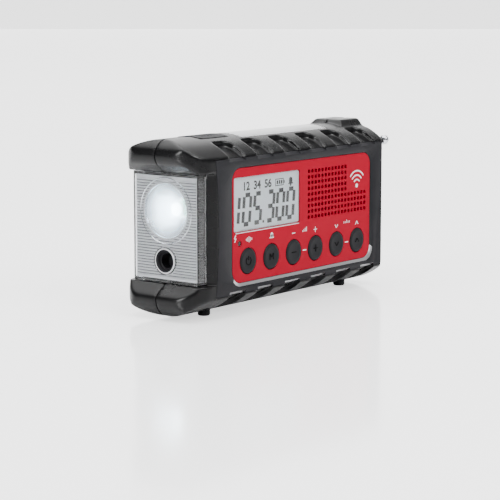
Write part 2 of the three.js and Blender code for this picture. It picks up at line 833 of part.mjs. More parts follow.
const sounder = place('sounder', lathe([
  [0, 8],
  [sounderRadius - 2.2, 8],
  [sounderRadius - 2.2, 0.6],
  [sounderRadius - 1, 0],
  [sounderRadius, 0.4],
  [sounderRadius - gap, sounderDepth],
  [0, sounderDepth],
], 16), materials.rubber);
sounder.position.set(lensFace, 0, -sounderDrop);
sounder.rotation.z = -Math.PI / 2;

// Light button: a crowned cap in its recess on top, on a stem
function makeLightButton() {
  const halfWidth = lightButtonWidth / 2;
  const bottom = lightFloor + lightButtonTravel + gap;
  const cap = crownedBar(halfDepth, halfFace, crown + lightButtonProud, lightStart, lightEnd,
    caseSegments)
    .intersect(solid(block(lightStart, lightEnd, -halfWidth, halfWidth, bottom, crown + overcut)));
  const stem = rodZ((lightStart + lightEnd) / 2, 0, lightStemRadius, cavityCrown - 3, bottom + 0.5, 12);
  return cap.add(solid(stem));
}
place('light_button', surface(makeLightButton()), materials.rubber);

// Solar panel: cells in the recess under a crowned clear cover
const solarHalfWidth = solarWidth / 2;
const coverUnder = solarCoverThickness;
const solarCover = crownedBar(halfDepth, halfFace, crown, solarStart, solarEnd, caseSegments)
  .subtract(crownedBar(halfDepth, halfFace - coverUnder, crown - coverUnder, solarStart - 1,
    solarEnd + 1, caseSegments))
  .intersect(solid(block(solarStart, solarEnd, -solarHalfWidth, solarHalfWidth, 0, crown + overcut)));
place('solar_cover', surface(solarCover), materials.clear);
const cellBottom = solarFloor + gap;
const cellMargin = 1;
place(
  'solar_cells',
  block(
    solarStart + cellMargin, solarEnd - cellMargin, cellMargin - solarHalfWidth,
      solarHalfWidth - cellMargin,
    cellBottom, cellBottom + solarCellThickness,
  ),
  materials.cells,
);

// Rear shell: the crank's round well, the battery bay, the screw bosses
const wellBottom = halfDepth - wellDepth;
const bayStart = leftEnd + bayLeft;
const bayEnd = bayStart + cellLength + 2 * baySlack;
const bayHalf = cellSpacing * (cellCount - 1) / 2 + cellRadius + baySlack / 2;
const doorBack = halfDepth - doorThickness;
const cellY = doorBack - cellRadius - 2;
const bayFront = cellY - cellRadius - gap;

function makeRearShell() {
  const rearInside = halfDepth - wall;
  let cavity = crownedBar(rearInside, cavityEdge, cavityCrown, cavityLeft, cavityRight, 6);
  cavity = cavity.subtract(solid(rodY(crankX, 0, wellRadius + wellFloor, wellBottom - wellFloor,
    halfDepth, 24)));
  cavity = cavity.subtract(solid(block(
    bayStart - bayWall, bayEnd + bayWall, bayFront - bayWall, halfDepth, -bayHalf - bayWall,
      bayHalf + bayWall,
  )));
  for (const [x, z] of screwPlaces()) {
    cavity = cavity.subtract(solid(rodY(x, z, bossRadius, 0, halfDepth, 8)));
  }
  let shell = half(caseBody, 1).subtract(cavity).subtract(caseCuts).subtract(armourPockets(1));
  shell = shell.subtract(solid(rodY(crankX, 0, wellRadius, wellBottom, halfDepth + overcut, 24)));
  shell = shell.subtract(solid(rodY(crankX, 0, shaftRadius + gap, 0, wellBottom + 1)));
  shell = shell.subtract(solid(block(bayStart, bayEnd, bayFront, halfDepth + overcut, -bayHalf,
    bayHalf)));
  shell = shell.subtract(solid(block(
    bayStart - doorLedge - gap, bayEnd + doorLedge + gap, doorBack - gap, halfDepth + overcut,
    -bayHalf - doorLedge - gap, bayHalf + doorLedge + gap,
  )));
  for (const [x, z] of screwPlaces()) {
    shell = shell.subtract(solid(rodY(x, z, screwRadius + gap, -1, halfDepth, 6)));
    shell = shell.subtract(solid(rodY(x, z, screwHeadRadius + 0.5, halfDepth - 3.3,
      halfDepth + overcut, 12)));
  }
  return shell;
}
place('rear_shell', surface(makeRearShell()), materials.armour);

// Battery door: a plate on the bay's ledge, with a thumb notch and grip ribs at its end
function makeBatteryDoor() {
  const left = bayStart - doorLedge;
  const right = bayEnd + doorLedge;
  const h = bayHalf + doorLedge;
  let door = solid(alongY(roundedRectangle(left, right, -h, h, 1.5), doorBack, halfDepth, 3));
  const notchHalf = 9;
  for (let i = 0; i < 4; i += 1) {
    const x = right - 5 - i * 2.6;
    door = door.subtract(solid(block(x - 0.6, x + 0.6, halfDepth - 0.8, halfDepth + 1, -notchHalf,
      notchHalf)));
  }
  return door;
}
place('battery_door', surface(makeBatteryDoor()), materials.armour);

for (let i = 0; i < cellCount; i += 1) {
  const cell = place(`aa_cell_${i + 1}`, lathe([
    [0, -cellLength / 2],
    [cellRadius, -cellLength / 2],
    [cellRadius, cellLength / 2 - 1],
    [2.75, cellLength / 2 - 1],
    [2.75, cellLength / 2],
    [0, cellLength / 2],
  ], 16), materials.battery);
  const turn = i % 2 === 0 ? 1 : -1;
  cell.rotation.z = turn * Math.PI / 2;
  cell.position.set((bayStart + bayEnd) / 2, cellY, (i - (cellCount - 1) / 2) * cellSpacing);
}

const packBack = bayFront - bayWall - gap;
const packMiddle = (bayStart + bayEnd) / 2;
const packOutline = roundedRectangle(
  packMiddle - packLength / 2, packMiddle + packLength / 2, -packHeight / 2, packHeight / 2, 3,
);
place('lithium_pack', alongY(packOutline, packBack - packThickness, packBack, 3), materials.battery);

// Screws, with a cross recess in the head
function makeScrew() {
  const top = halfDepth - 0.6;
  const under = halfDepth - 3;
  const body = solid(lathe([
    [0, under - screwLength],
    [screwRadius, under - screwLength],
    [screwRadius, under],
    [screwHeadRadius, under],
    [screwHeadRadius, top - 0.5],
    [screwHeadRadius - 0.7, top],
    [0, top],
  ], 12));
  const blade = 0.5;
  const reach = 1.8;
  const cross = solid(block(-reach, reach, top - 1, top + 1, -blade, blade))
    .add(solid(block(-blade, blade, top - 1, top + 1, -reach, reach)));
  return surface(body.subtract(cross));
}
screwPlaces().forEach(([x, z], index) => {
  place(`screw_${index + 1}`, makeScrew(), materials.steel).position.set(x, 0, z);
});

footPlaces.forEach(([x, y], index) => {
  const foot = place(`foot_${index + 1}`, lathe([
    [0, 0],
    [footRadius - 0.5, 0],
    [footRadius, 0.5],
    [footRadius, footInset],
    [0, footInset],
  ], 12), materials.rubber);
  foot.rotation.x = Math.PI / 2;
  foot.position.set(x, y, -midHeight);
});

// Crank: hub with two ears, cross pin, folding arm with the knob's post, knob
const crank = new THREE.Group();
crank.position.set(crankX, 0, 0);
radio.add(crank);
const hubBack = wellBottom + gap;
const hubTop = hubBack + hubThickness;
const pivotY = halfDepth - armPivotDepth;
const earRadius = 3;
const armTop = halfDepth - gap;
const armUnder = armTop - armThickness;
const knobX = armPinToKnob - armPivotOffset;
const crankGearTop = wellBottom - wellFloor - 1;
const crankGearBottom = crankGearTop - gearThickness;

function makeHub() {
  let body = solid(rodY(0, 0, hubRadius, hubBack, hubTop, 16));
  body = body.add(solid(rodY(0, 0, shaftRadius, crankGearBottom - 1, hubBack + 1)));
  const inner = tongueWidth / 2 + gap;
  for (const side of [-1, 1]) {
    const z0 = side < 0 ? -inner - earThickness : inner;
    const ear = new THREE.Shape();
    ear.moveTo(-armPivotOffset - earRadius, hubBack + 1);
    ear.lineTo(-armPivotOffset + earRadius, hubBack + 1);
    ear.lineTo(-armPivotOffset + earRadius, pivotY);
    ear.absarc(-armPivotOffset, pivotY, earRadius, 0, Math.PI);
    ear.closePath();
    body = body.add(solid(alongZ(ear, z0, z0 + earThickness, 4)));
  }
  const foot = block(
    -armPivotOffset - earRadius, -armPivotOffset + earRadius, hubBack, hubTop,
    -inner - earThickness, inner + earThickness,
  );
  body = body.add(solid(foot));
  const bore = rodZ(-armPivotOffset, pivotY, pinRadius + gap, -armWidth, armWidth, 12);
  return body.subtract(solid(bore));
}
place('crank_hub', surface(makeHub()), materials.armour, crank);

const pinHalf = tongueWidth / 2 + gap + earThickness;
place('crank_pin', rodZ(-armPivotOffset, pivotY, pinRadius, -pinHalf, pinHalf, 12), materials.steel,
  crank);

function makeArm() {
  const start = -armPivotOffset + earRadius + 1.6;
  const shape = new THREE.Shape();
  shape.moveTo(start, -armWidth / 2);
  shape.lineTo(knobX, -armWidth / 2);
  shape.absarc(knobX, 0, armWidth / 2, -Math.PI / 2, Math.PI / 2);
  shape.lineTo(start, armWidth / 2);
  shape.closePath();
  let arm = solid(alongY(shape, armUnder, armTop, 8));
  const tongue = new THREE.Shape();
  const eye = armTop - pivotY;
  tongue.moveTo(start + 1, armUnder);
  tongue.lineTo(start + 1, armTop);
  tongue.lineTo(-armPivotOffset, armTop);
  tongue.absarc(-armPivotOffset, pivotY, eye, Math.PI / 2, Math.PI);
  tongue.lineTo(-armPivotOffset - eye, armUnder + 1);
  tongue.lineTo(-armPivotOffset, armUnder);
  tongue.closePath();
  arm = arm.add(solid(alongZ(tongue, -tongueWidth / 2, tongueWidth / 2, 4)));
  const bore = rodZ(-armPivotOffset, pivotY, pinRadius + gap, -armWidth, armWidth, 12);
  const post = rodY(knobX, 0, knobPostRadius, hubBack + knobFloorGap + 2, armUnder + 1, 12);
  return arm.subtract(solid(bore)).add(solid(post));
}
place('crank_arm', surface(makeArm()), materials.armour, crank);

const knobBottom = hubBack + knobFloorGap;
const crankKnob = place('crank_knob', lathe([
  [0, knobBottom],
  [knobRadius - 1, knobBottom],
  [knobRadius, knobBottom + 1],
  [knobRadius, knobBottom + 3],
  [knobRadius - 1.2, knobBottom + 5],
  [knobRadius - 1.2, armUnder - gap],
  [knobPostRadius + gap, armUnder - gap],
  [knobPostRadius + gap, knobBottom + 2 - gap],
  [0, knobBottom + 2 - gap],
], 14), materials.rubber, crank);
crankKnob.position.x = knobX;

// Gear train: crank gear, compound idler, generator pinion, all with module 1 teeth
function gearShape(teeth, bore) {
  const pitch = teeth / 2;
  const step = 2 * Math.PI / teeth;
  const points = [];
  for (let i = 0; i < teeth; i += 1) {
    const middle = i * step;
    const root = toothShare * step * 0.62;
    const tip = toothShare * step * 0.34;
    points.push([pitch - toothIn, middle - root]);
    points.push([pitch + toothOut, middle - tip]);
    points.push([pitch + toothOut, middle + tip]);
    points.push([pitch - toothIn, middle + root]);
  }
  const shape = polygon(points.map(([r, a]) => [r * Math.cos(a), r * Math.sin(a)]));
  if (bore > 0) {
    const hole = new THREE.Path();
    hole.absarc(0, 0, bore, 0, 2 * Math.PI);
    shape.holes.push(hole);
  }
  return shape;
}

const crankToIdler = (crankTeeth + idlerPinionTeeth) / 2;
const idlerToPinion = (idlerTeeth + pinionTeeth) / 2;
const idlerX = crankToIdler * Math.cos(idlerAngle);
const idlerZ = crankToIdler * Math.sin(idlerAngle);
const wheelTop = crankGearBottom - 1;
const wheelBottom = wheelTop - wheelThickness;
const plateTop = wheelBottom - 0.7;
const plateBottom = plateTop - framePlate;

const crankWheel = alongY(gearShape(crankTeeth, shaftRadius + gap), crankGearBottom, crankGearTop, 4);
const crankGear = place('crank_gear', crankWheel, materials.gear, crank);
crankGear.rotation.y = -idlerAngle;

const idler = new THREE.Group();
idler.position.set(idlerX, 0, idlerZ);
crank.add(idler);

function makeIdler() {
  const wheel = alongY(gearShape(idlerTeeth, axleRadius + gap), wheelBottom, wheelTop, 3);
  const pinion = alongY(gearShape(idlerPinionTeeth, axleRadius + gap), wheelTop - 0.5, crankGearTop, 3);
  // a gap of the pinion faces the crank gear's tooth, and a tooth of the wheel faces the generator pinion
  pinion.rotateY(-(idlerAngle + Math.PI + Math.PI / idlerPinionTeeth));
  wheel.rotateY(-Math.PI);
  return surface(solid(wheel).add(solid(pinion)));
}
place('idler_gear', makeIdler(), materials.gear, idler);

function makePinion() {
  const teeth = alongY(gearShape(pinionTeeth, 0), plateTop + 0.4, wheelTop + 0.4, 3);
  teeth.rotateY(-Math.PI / pinionTeeth);
  const shaft = rodY(0, 0, axleRadius - gap, plateBottom - 5, wheelTop, 10);
  return surface(solid(teeth).add(solid(shaft)));
}
const pinion = place('generator_pinion', makePinion(), materials.steel, idler);
pinion.position.x = -idlerToPinion;

// Frame: a plate behind the gears, the idler's axle and three posts up to the well's floor
function makeGearFrame() {
  const generatorX = idlerX - idlerToPinion;
  const reach = crankTeeth / 2 + toothOut + postRadius + 1.5;
  const outline = polygon([
    [generatorX - 6, idlerZ - 8],
    [idlerX + 6, idlerZ - 8],
    [reach + 4, -4],
    [reach + 4, 4],
    [4, reach + 4],
    [-4, reach + 4],
    [generatorX - 6, 6],
  ]);
  const postTop = wellBottom - wellFloor - gap;
  let frame = solid(alongY(outline, plateBottom, plateTop));
  frame = frame.add(solid(rodY(idlerX, idlerZ, axleRadius, plateTop - 1, postTop, 12)));
  for (const [x, z] of [[reach, 0], [0, reach], [generatorX, 1]]) {
    frame = frame.add(solid(rodY(x, z, postRadius, plateTop - 1, postTop, 10)));
  }
  return surface(frame.subtract(solid(rodY(generatorX, idlerZ, axleRadius + 1, plateBottom - 1,
    plateTop + 1, 12))));
}
place('gear_frame', makeGearFrame(), materials.steel, crank);

const generatorTop = plateBottom - gap;
const generator = place('generator', lathe([
  [0, generatorTop - generatorLength],
  [generatorRadius, generatorTop - generatorLength],
  [generatorRadius, generatorTop - 1],
  [generatorRadius - 1, generatorTop],
  [axleRadius, generatorTop],
  [axleRadius, generatorTop - 6],
  [0, generatorTop - 6],
], 12), materials.steel, idler);
generator.position.x = -idlerToPinion;

// Sockets behind the right end, each with an opening, and their hinged rubber cover
for (const { name, y, z, width, height, length } of socketSpecs) {
  const front = rightEnd - coverThickness - 2 * gap;
  const body = solid(block(front - length, front, y - width / 2, y + width / 2, z - height / 2,
    z + height / 2));
  const rim = 0.5;
  const mouth = width === height
    ? rodX(y, z, 1.75, front - length + 2, front + 1, 12)
    : block(front - length + 2, front + 1, y - width / 2 + rim, y + width / 2 - rim,
      z - height / 2 + rim, z + height / 2 - rim);
  place(name, surface(body.subtract(solid(mouth))), materials.steel);
}

function makePortCover() {
  const plate = roundedRectangle(coverFront, coverBack, coverBottom, coverTop, 2);
  const lid = solid(alongX(plate, rightEnd - coverThickness, rightEnd, 3));
  const grip = block(rightEnd - 0.9, rightEnd + 1, coverBack - 3.4, coverBack - 1.6, -coverDrop - 6,
    6 - coverDrop);
  return surface(lid.subtract(solid(grip)));
}
place('port_cover', makePortCover(), materials.rubber);

// Antenna on the right end: base, swivel knuckle with its pin, and the telescoping rod lying forwards
const antenna = new THREE.Group();
antenna.position.set(rightEnd, antennaDepth, antennaRise);
radio.add(antenna);
const baseOuter = gap + antennaBaseThickness;
place('antenna_base', rodX(0, 0, knuckleRadius, gap, baseOuter, 16), materials.armour, antenna);

function makeKnuckle() {
  const plateStart = baseOuter + gap;
  let body = solid(rodX(0, 0, knuckleRadius, plateStart, plateStart + knucklePlate, 16));
  for (const side of [-1, 1]) {
    const z0 = side < 0 ? -cheekGap / 2 - cheekThickness : cheekGap / 2;
    const cheek = new THREE.Shape();
    cheek.moveTo(plateStart + 0.5, -ballRadius);
    cheek.lineTo(antennaOut, -ballRadius);
    cheek.absarc(antennaOut, 0, ballRadius, -Math.PI / 2, Math.PI / 2);
    cheek.lineTo(plateStart + 0.5, ballRadius);
    cheek.closePath();
    body = body.add(solid(alongZ(cheek, z0, z0 + cheekThickness, 4)));
  }
  const pinEnd = cheekGap / 2 + cheekThickness / 2;
  return surface(body.add(solid(rodZ(antennaOut, 0, pinRadius - 0.2, -pinEnd, pinEnd, 12))));
}
place('antenna_knuckle', makeKnuckle(), materials.steel, antenna);

const rod = new THREE.Group();
rod.position.set(antennaOut, 0, 0);
antenna.add(rod);
const sectionOuter = (index) => sectionRadius - index * sectionStep;
const tongueHalf = cheekGap / 2 - gap;

// Each section runs along -Y from the tilt pin; the first has the tongue, the last the ball
function makeSection(index) {
  const outer = sectionOuter(index);
  const start = -tubeStart - (index === 0 ? 0 : 1.5 + 0.4 * index);
  const end = -tubeStart - tubeLength - index * sectionPeep;
  const isLast = index === sectionCount - 1;
  if (isLast) {
    const ballY = -antennaDepth - ballFront;
    const bar = solid(rodY(0, 0, outer, ballY, start, 10));
    const ball = new THREE.SphereGeometry(ballRadius, 10, 6).translate(0, ballY, 0);
    return surface(bar.add(solid(ball)));
  }
  const inner = outer - sectionWall;
  const floor = index === 0 ? start - 1 : start;
  const tube = solid(rodY(0, 0, outer, end, start, 12));
  const bore = solid(rodY(0, 0, inner, end - 1, index === 0 ? floor : start + 1, 12));
  let section = tube.subtract(bore);
  if (index === 0) {
    const tongue = block(-2.1, 2.1, start - 0.5, 0, -tongueHalf, tongueHalf);
    const eye = rodZ(0, 0, 2.3, -tongueHalf, tongueHalf, 12);
    const hole = rodZ(0, 0, pinRadius + 0.1, -cheekGap, cheekGap, 12);
    section = section.add(solid(tongue)).add(solid(eye)).subtract(solid(hole));
  }
  return surface(section);
}
for (let i = 0; i < sectionCount; i += 1) {
  place(`antenna_section_${i + 1}`, makeSection(i), materials.steel, rod);
}

export default radio;
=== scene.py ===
import bpy, bmesh, math, json
from mathutils import Vector, Matrix


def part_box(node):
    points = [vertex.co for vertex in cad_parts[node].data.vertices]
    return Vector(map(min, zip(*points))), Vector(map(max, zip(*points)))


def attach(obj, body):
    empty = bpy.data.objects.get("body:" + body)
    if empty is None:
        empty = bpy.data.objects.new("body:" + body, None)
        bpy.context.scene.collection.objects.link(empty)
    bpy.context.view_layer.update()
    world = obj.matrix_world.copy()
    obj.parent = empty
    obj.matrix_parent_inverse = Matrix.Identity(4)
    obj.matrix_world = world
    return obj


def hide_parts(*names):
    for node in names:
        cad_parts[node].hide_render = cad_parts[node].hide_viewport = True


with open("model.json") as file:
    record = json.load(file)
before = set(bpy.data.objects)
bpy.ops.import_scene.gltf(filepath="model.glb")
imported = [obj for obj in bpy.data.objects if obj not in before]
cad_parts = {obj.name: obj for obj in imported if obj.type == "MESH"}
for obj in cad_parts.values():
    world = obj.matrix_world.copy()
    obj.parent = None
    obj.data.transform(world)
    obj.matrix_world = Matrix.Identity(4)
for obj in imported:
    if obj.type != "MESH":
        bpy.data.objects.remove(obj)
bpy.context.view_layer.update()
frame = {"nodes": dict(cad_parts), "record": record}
scene = bpy.context.scene
print("frame loaded")


def edges(node):  # a node's lowest and highest corners in millimetres
    lo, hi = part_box(node)
    return lo * 1000, hi * 1000


frontLo, frontHi = edges("front_shell")
rearLo, rearHi = edges("rear_shell")
bezelLo, bezelHi = edges("front_bezel")
panelLo, panelHi = edges("control_panel")
lensLo, lensHi = edges("flashlight_lens")
windowLo, windowHi = edges("lcd_window")
doorLo, doorHi = edges("battery_door")
midZ = (panelLo.z + panelHi.z) / 2
leftEnd, rightEnd = frontLo.x, frontHi.x
halfDepth = -frontLo.y
keyNames = ["power", "menu", "minus", "plus", "down", "up"]

# the camera stands where a person across the table would
cameraPlace = {"offset": (-809.25, -624.0, 127.9), "yaw": 51.96, "pitch": 8.34, "lens": 128.2}
camera = bpy.data.objects.new("camera", bpy.data.cameras.new("camera"))
camera.data.lens = cameraPlace["lens"]
camera.data.sensor_width = 36
camera.data.clip_end = 50
camera.location = Vector((cameraPlace["offset"][0], cameraPlace["offset"][1], midZ + cameraPlace["offset"][2])) / 1000
camera.rotation_euler = (math.radians(90 - cameraPlace["pitch"]), 0, -math.radians(cameraPlace["yaw"]))
scene.collection.objects.link(camera)
scene.camera = camera


# mesh helpers: pieces are modelled in millimetres and brought to metres once, at the end
def outlineFace(bm, corners, plane, level, segments=8):  # corners are (u, v, rounding)
    put = {"x": lambda u, v: (level, u, v), "y": lambda u, v: (u, level, v), "z": lambda u, v: (u, v, level)}[plane]
    verts = [bm.verts.new(put(u, v)) for u, v, r in corners]
    bm.faces.new(verts)
    for vert, (u, v, r) in zip(verts, corners):
        if r > 0:
            bmesh.ops.bevel(bm, geom=[vert], offset=r, offset_type="OFFSET", segments=segments,
                            profile=0.5, affect="VERTICES", material=-1)


def drawOut(bm, plane, length):  # pulls every face of a flat outline into a bar
    axis = {"x": Vector((1, 0, 0)), "y": Vector((0, 1, 0)), "z": Vector((0, 0, 1))}[plane]
    made = bmesh.ops.extrude_face_region(bm, geom=bm.faces[:])
    bmesh.ops.translate(bm, verts=[g for g in made["geom"] if isinstance(g, bmesh.types.BMVert)], vec=axis * length)
    bmesh.ops.recalc_face_normals(bm, faces=bm.faces[:])


def bar(corners, plane, start, end, segments=8):
    bm = bmesh.new()
    outlineFace(bm, corners, plane, start, segments)
    drawOut(bm, plane, end - start)
    return bm


def box(x0, x1, y0, y1, z0, z1):
    bm = bmesh.new()
    bmesh.ops.create_cube(bm, size=1)
    bmesh.ops.scale(bm, verts=bm.verts, vec=(x1 - x0, y1 - y0, z1 - z0))
    bmesh.ops.translate(bm, verts=bm.verts, vec=((x0 + x1) / 2, (y0 + y1) / 2, (z0 + z1) / 2))
    return bm


def turned(profile, axis, centre, steps=48):  # profile is (radius, place along the axis)
    bm = bmesh.new()
    verts = [bm.verts.new((r, 0, h)) for r, h in profile]
    for a, b in zip(verts, verts[1:]):
        bm.edges.new((a, b))
    bmesh.ops.spin(bm, geom=bm.verts[:] + bm.edges[:], cent=(0, 0, 0), axis=(0, 0, 1), angle=2 * math.pi,
                   steps=steps, use_merge=True)
    bmesh.ops.remove_doubles(bm, verts=bm.verts, dist=0.001)
    turn = {"x": Matrix.Rotation(math.pi / 2, 3, "Y"), "y": Matrix.Rotation(-math.pi / 2, 3, "X"),
            "z": Matrix.Identity(3)}[axis]
    bmesh.ops.rotate(bm, verts=bm.verts, cent=(0, 0, 0), matrix=turn)
    bmesh.ops.translate(bm, verts=bm.verts, vec=centre)
    bmesh.ops.recalc_face_normals(bm, faces=bm.faces[:])
    return bm


def roundBar(axis, centre, radius, start, end, steps=48):
    return turned([(0, start), (radius, start), (radius, end), (0, end)], axis, centre, steps)


def crowned(half, edge, top, x0, x1, steps=36):  # flat faces, with an arc over the top and under the bottom
    rise = top - edge
    radius = (half * half + rise * rise) / (2 * rise)
    spread = math.asin(half / radius)
    bm = bmesh.new()
    for side in (1, -1):
        vert = bm.verts.new((x0, side * half, midZ + side * edge))
        bmesh.ops.spin(bm, geom=[vert], cent=(x0, 0, midZ + side * (top - radius)), axis=(1, 0, 0),
                       angle=2 * spread, steps=steps)
    bmesh.ops.remove_doubles(bm, verts=bm.verts, dist=0.001)
    bmesh.ops.contextual_create(bm, geom=[v for v in bm.verts if len(v.link_edges) == 1])
    loose = [v for v in bm.verts if len(v.link_edges) == 1]
    loose.sort(key=lambda v: v.co.y)
    for pair in (loose[:2], loose[2:]):
        if len(pair) == 2:
            bm.edges.new(pair)
    bmesh.ops.contextual_create(bm, geom=bm.edges[:])
    drawOut(bm, "x", x1 - x0)
    return bm


def toObject(bm, name="cutter"):
    mesh = bpy.data.meshes.new(name)
    bm.to_mesh(mesh)
    bm.free()
    made = bpy.data.objects.new(name, mesh)
    scene.collection.objects.link(made)
    return made


def together(*parts):  # several separate shapes in one bmesh
    whole = bmesh.new()
    for part in parts:
        mesh = bpy.data.meshes.new("part")
        part.to_mesh(mesh)
        part.free()
        whole.from_mesh(mesh)
        bpy.data.meshes.remove(mesh)
    return whole


def applyModifiers(piece):
    graph = bpy.context.evaluated_depsgraph_get()
    done = bpy.data.meshes.new_from_object(piece.evaluated_get(graph))
    piece.modifiers.clear()
    old = piece.data
    piece.data = done
    bpy.data.meshes.remove(old)
    return piece


def combine(piece, other, operation="DIFFERENCE"):
    tool = toObject(other) if isinstance(other, bmesh.types.BMesh) else other
    mod = piece.modifiers.new("combine", "BOOLEAN")
    mod.operation = operation
    mod.solver = "MANIFOLD"
    mod.object = tool
    applyModifiers(piece)
    bpy.data.objects.remove(tool)
    return piece


def finish(piece, name, body, material, replaced=(), bevel=0, segments=2, angle=35):
    piece.name = name
    piece.data.name = name
    piece.data.transform(Matrix.Scale(0.001, 4))
    piece.data.materials.clear()
    piece.data.materials.append(material)
    if bevel:
        mod = piece.modifiers.new("edges", "BEVEL")
        mod.width = bevel / 1000
        mod.segments = segments
        mod.limit_method = "ANGLE"
        mod.angle_limit = math.radians(angle)
        mod.harden_normals = False
    piece.data.shade_smooth()
    bm = bmesh.new()
    bm.from_mesh(piece.data)
    for edge in bm.edges:
        if len(edge.link_faces) == 2 and edge.calc_face_angle(0) > math.radians(angle):
            edge.smooth = False
    bm.to_mesh(piece.data)
    bm.free()
    if bevel:
        normals = piece.modifiers.new("normals", "WEIGHTED_NORMAL")
        normals.keep_sharp = False
    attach(piece, body)
    if replaced:
        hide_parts(*replaced)
    return piece


# materials
def nodeGroup(name, inputs, outputs):
    group = bpy.data.node_groups.new(name, "ShaderNodeTree")
    for label, kind, value in inputs:
        made = group.interface.new_socket(label, in_out="INPUT", socket_type=kind)
        made.default_value = value
    for label, kind in outputs:
        group.interface.new_socket(label, in_out="OUTPUT", socket_type=kind)
    return group, group.nodes.new("NodeGroupInput"), group.nodes.new("NodeGroupOutput")


def mouldedSurface():  # fine spark-eroded grain and slow patches of gloss
    group, given, put = nodeGroup("mouldedSurface",
                                  [("Grain Scale", "NodeSocketFloat", 1500.0), ("Patch Scale", "NodeSocketFloat", 25.0),
                                   ("Roughness", "NodeSocketFloat", 0.4), ("Spread", "NodeSocketFloat", 0.1)],
                                  [("Height", "NodeSocketFloat"), ("Gloss", "NodeSocketFloat")])
    place = group.nodes.new("ShaderNodeTexCoord")
    grain = group.nodes.new("ShaderNodeTexNoise")
    grain.inputs["Detail"].default_value = 3
    patch = group.nodes.new("ShaderNodeTexNoise")
    patch.inputs["Detail"].default_value = 5
    centred = group.nodes.new("ShaderNodeMath")
    centred.operation = "SUBTRACT"
    centred.inputs[1].default_value = 0.5
    spread = group.nodes.new("ShaderNodeMath")
    spread.operation = "MULTIPLY_ADD"
    link = group.links.new
    link(place.outputs["Object"], grain.inputs["Vector"])
    link(place.outputs["Object"], patch.inputs["Vector"])
    link(given.outputs["Grain Scale"], grain.inputs["Scale"])
    link(given.outputs["Patch Scale"], patch.inputs["Scale"])
    link(patch.outputs["Fac"], centred.inputs[0])
    link(centred.outputs[0], spread.inputs[0])
    link(given.outputs["Spread"], spread.inputs[1])
    link(given.outputs["Roughness"], spread.inputs[2])
    link(grain.outputs["Fac"], put.inputs["Height"])
    link(spread.outputs[0], put.inputs["Gloss"])
    return group


def wornColour():  # base colour with faint dust in slow patches and lighter rubbed edges
    group, given, put = nodeGroup("wornColour",
                                  [("Colour", "NodeSocketColor", (0.1, 0.1, 0.1, 1)),
                                   ("Rubbed", "NodeSocketColor", (0.2, 0.2, 0.2, 1)),
                                   ("Wear", "NodeSocketFloat", 0.3), ("Mottle", "NodeSocketFloat", 0.1)],
                                  [("Colour", "NodeSocketColor")])
    place = group.nodes.new("ShaderNodeTexCoord")
    patch = group.nodes.new("ShaderNodeTexNoise")
    patch.inputs["Scale"].default_value = 60
    patch.inputs["Detail"].default_value = 6
    geometry = group.nodes.new("ShaderNodeNewGeometry")
    ramp = group.nodes.new("ShaderNodeMapRange")
    ramp.inputs["From Min"].default_value = 0.53
    ramp.inputs["From Max"].default_value = 0.62
    amount = group.nodes.new("ShaderNodeMath")
    amount.operation = "MULTIPLY"
    broken = group.nodes.new("ShaderNodeMath")
    broken.operation = "MULTIPLY"
    mixWear = group.nodes.new("ShaderNodeMix")
    mixWear.data_type = "RGBA"
    mixMottle = group.nodes.new("ShaderNodeMix")
    mixMottle.data_type = "RGBA"
    mixMottle.blend_type = "MULTIPLY"
    link = group.links.new
    link(place.outputs["Object"], patch.inputs["Vector"])
    link(geometry.outputs["Pointiness"], ramp.inputs["Value"])
    link(ramp.outputs["Result"], amount.inputs[0])
    link(given.outputs["Wear"], amount.inputs[1])
    link(amount.outputs[0], broken.inputs[0])
    link(patch.outputs["Fac"], broken.inputs[1])
    link(broken.outputs[0], mixWear.inputs["Factor"])
    link(given.outputs["Colour"], mixWear.inputs["A"])
    link(given.outputs["Rubbed"], mixWear.inputs["B"])
    link(given.outputs["Mottle"], mixMottle.inputs["Factor"])
    link(mixWear.outputs["Result"], mixMottle.inputs["A"])
    link(patch.outputs["Color"], mixMottle.inputs["B"])
    link(mixMottle.outputs["Result"], put.inputs["Colour"])
    return group


surfaceGroup = mouldedSurface()
colourGroup = wornColour()


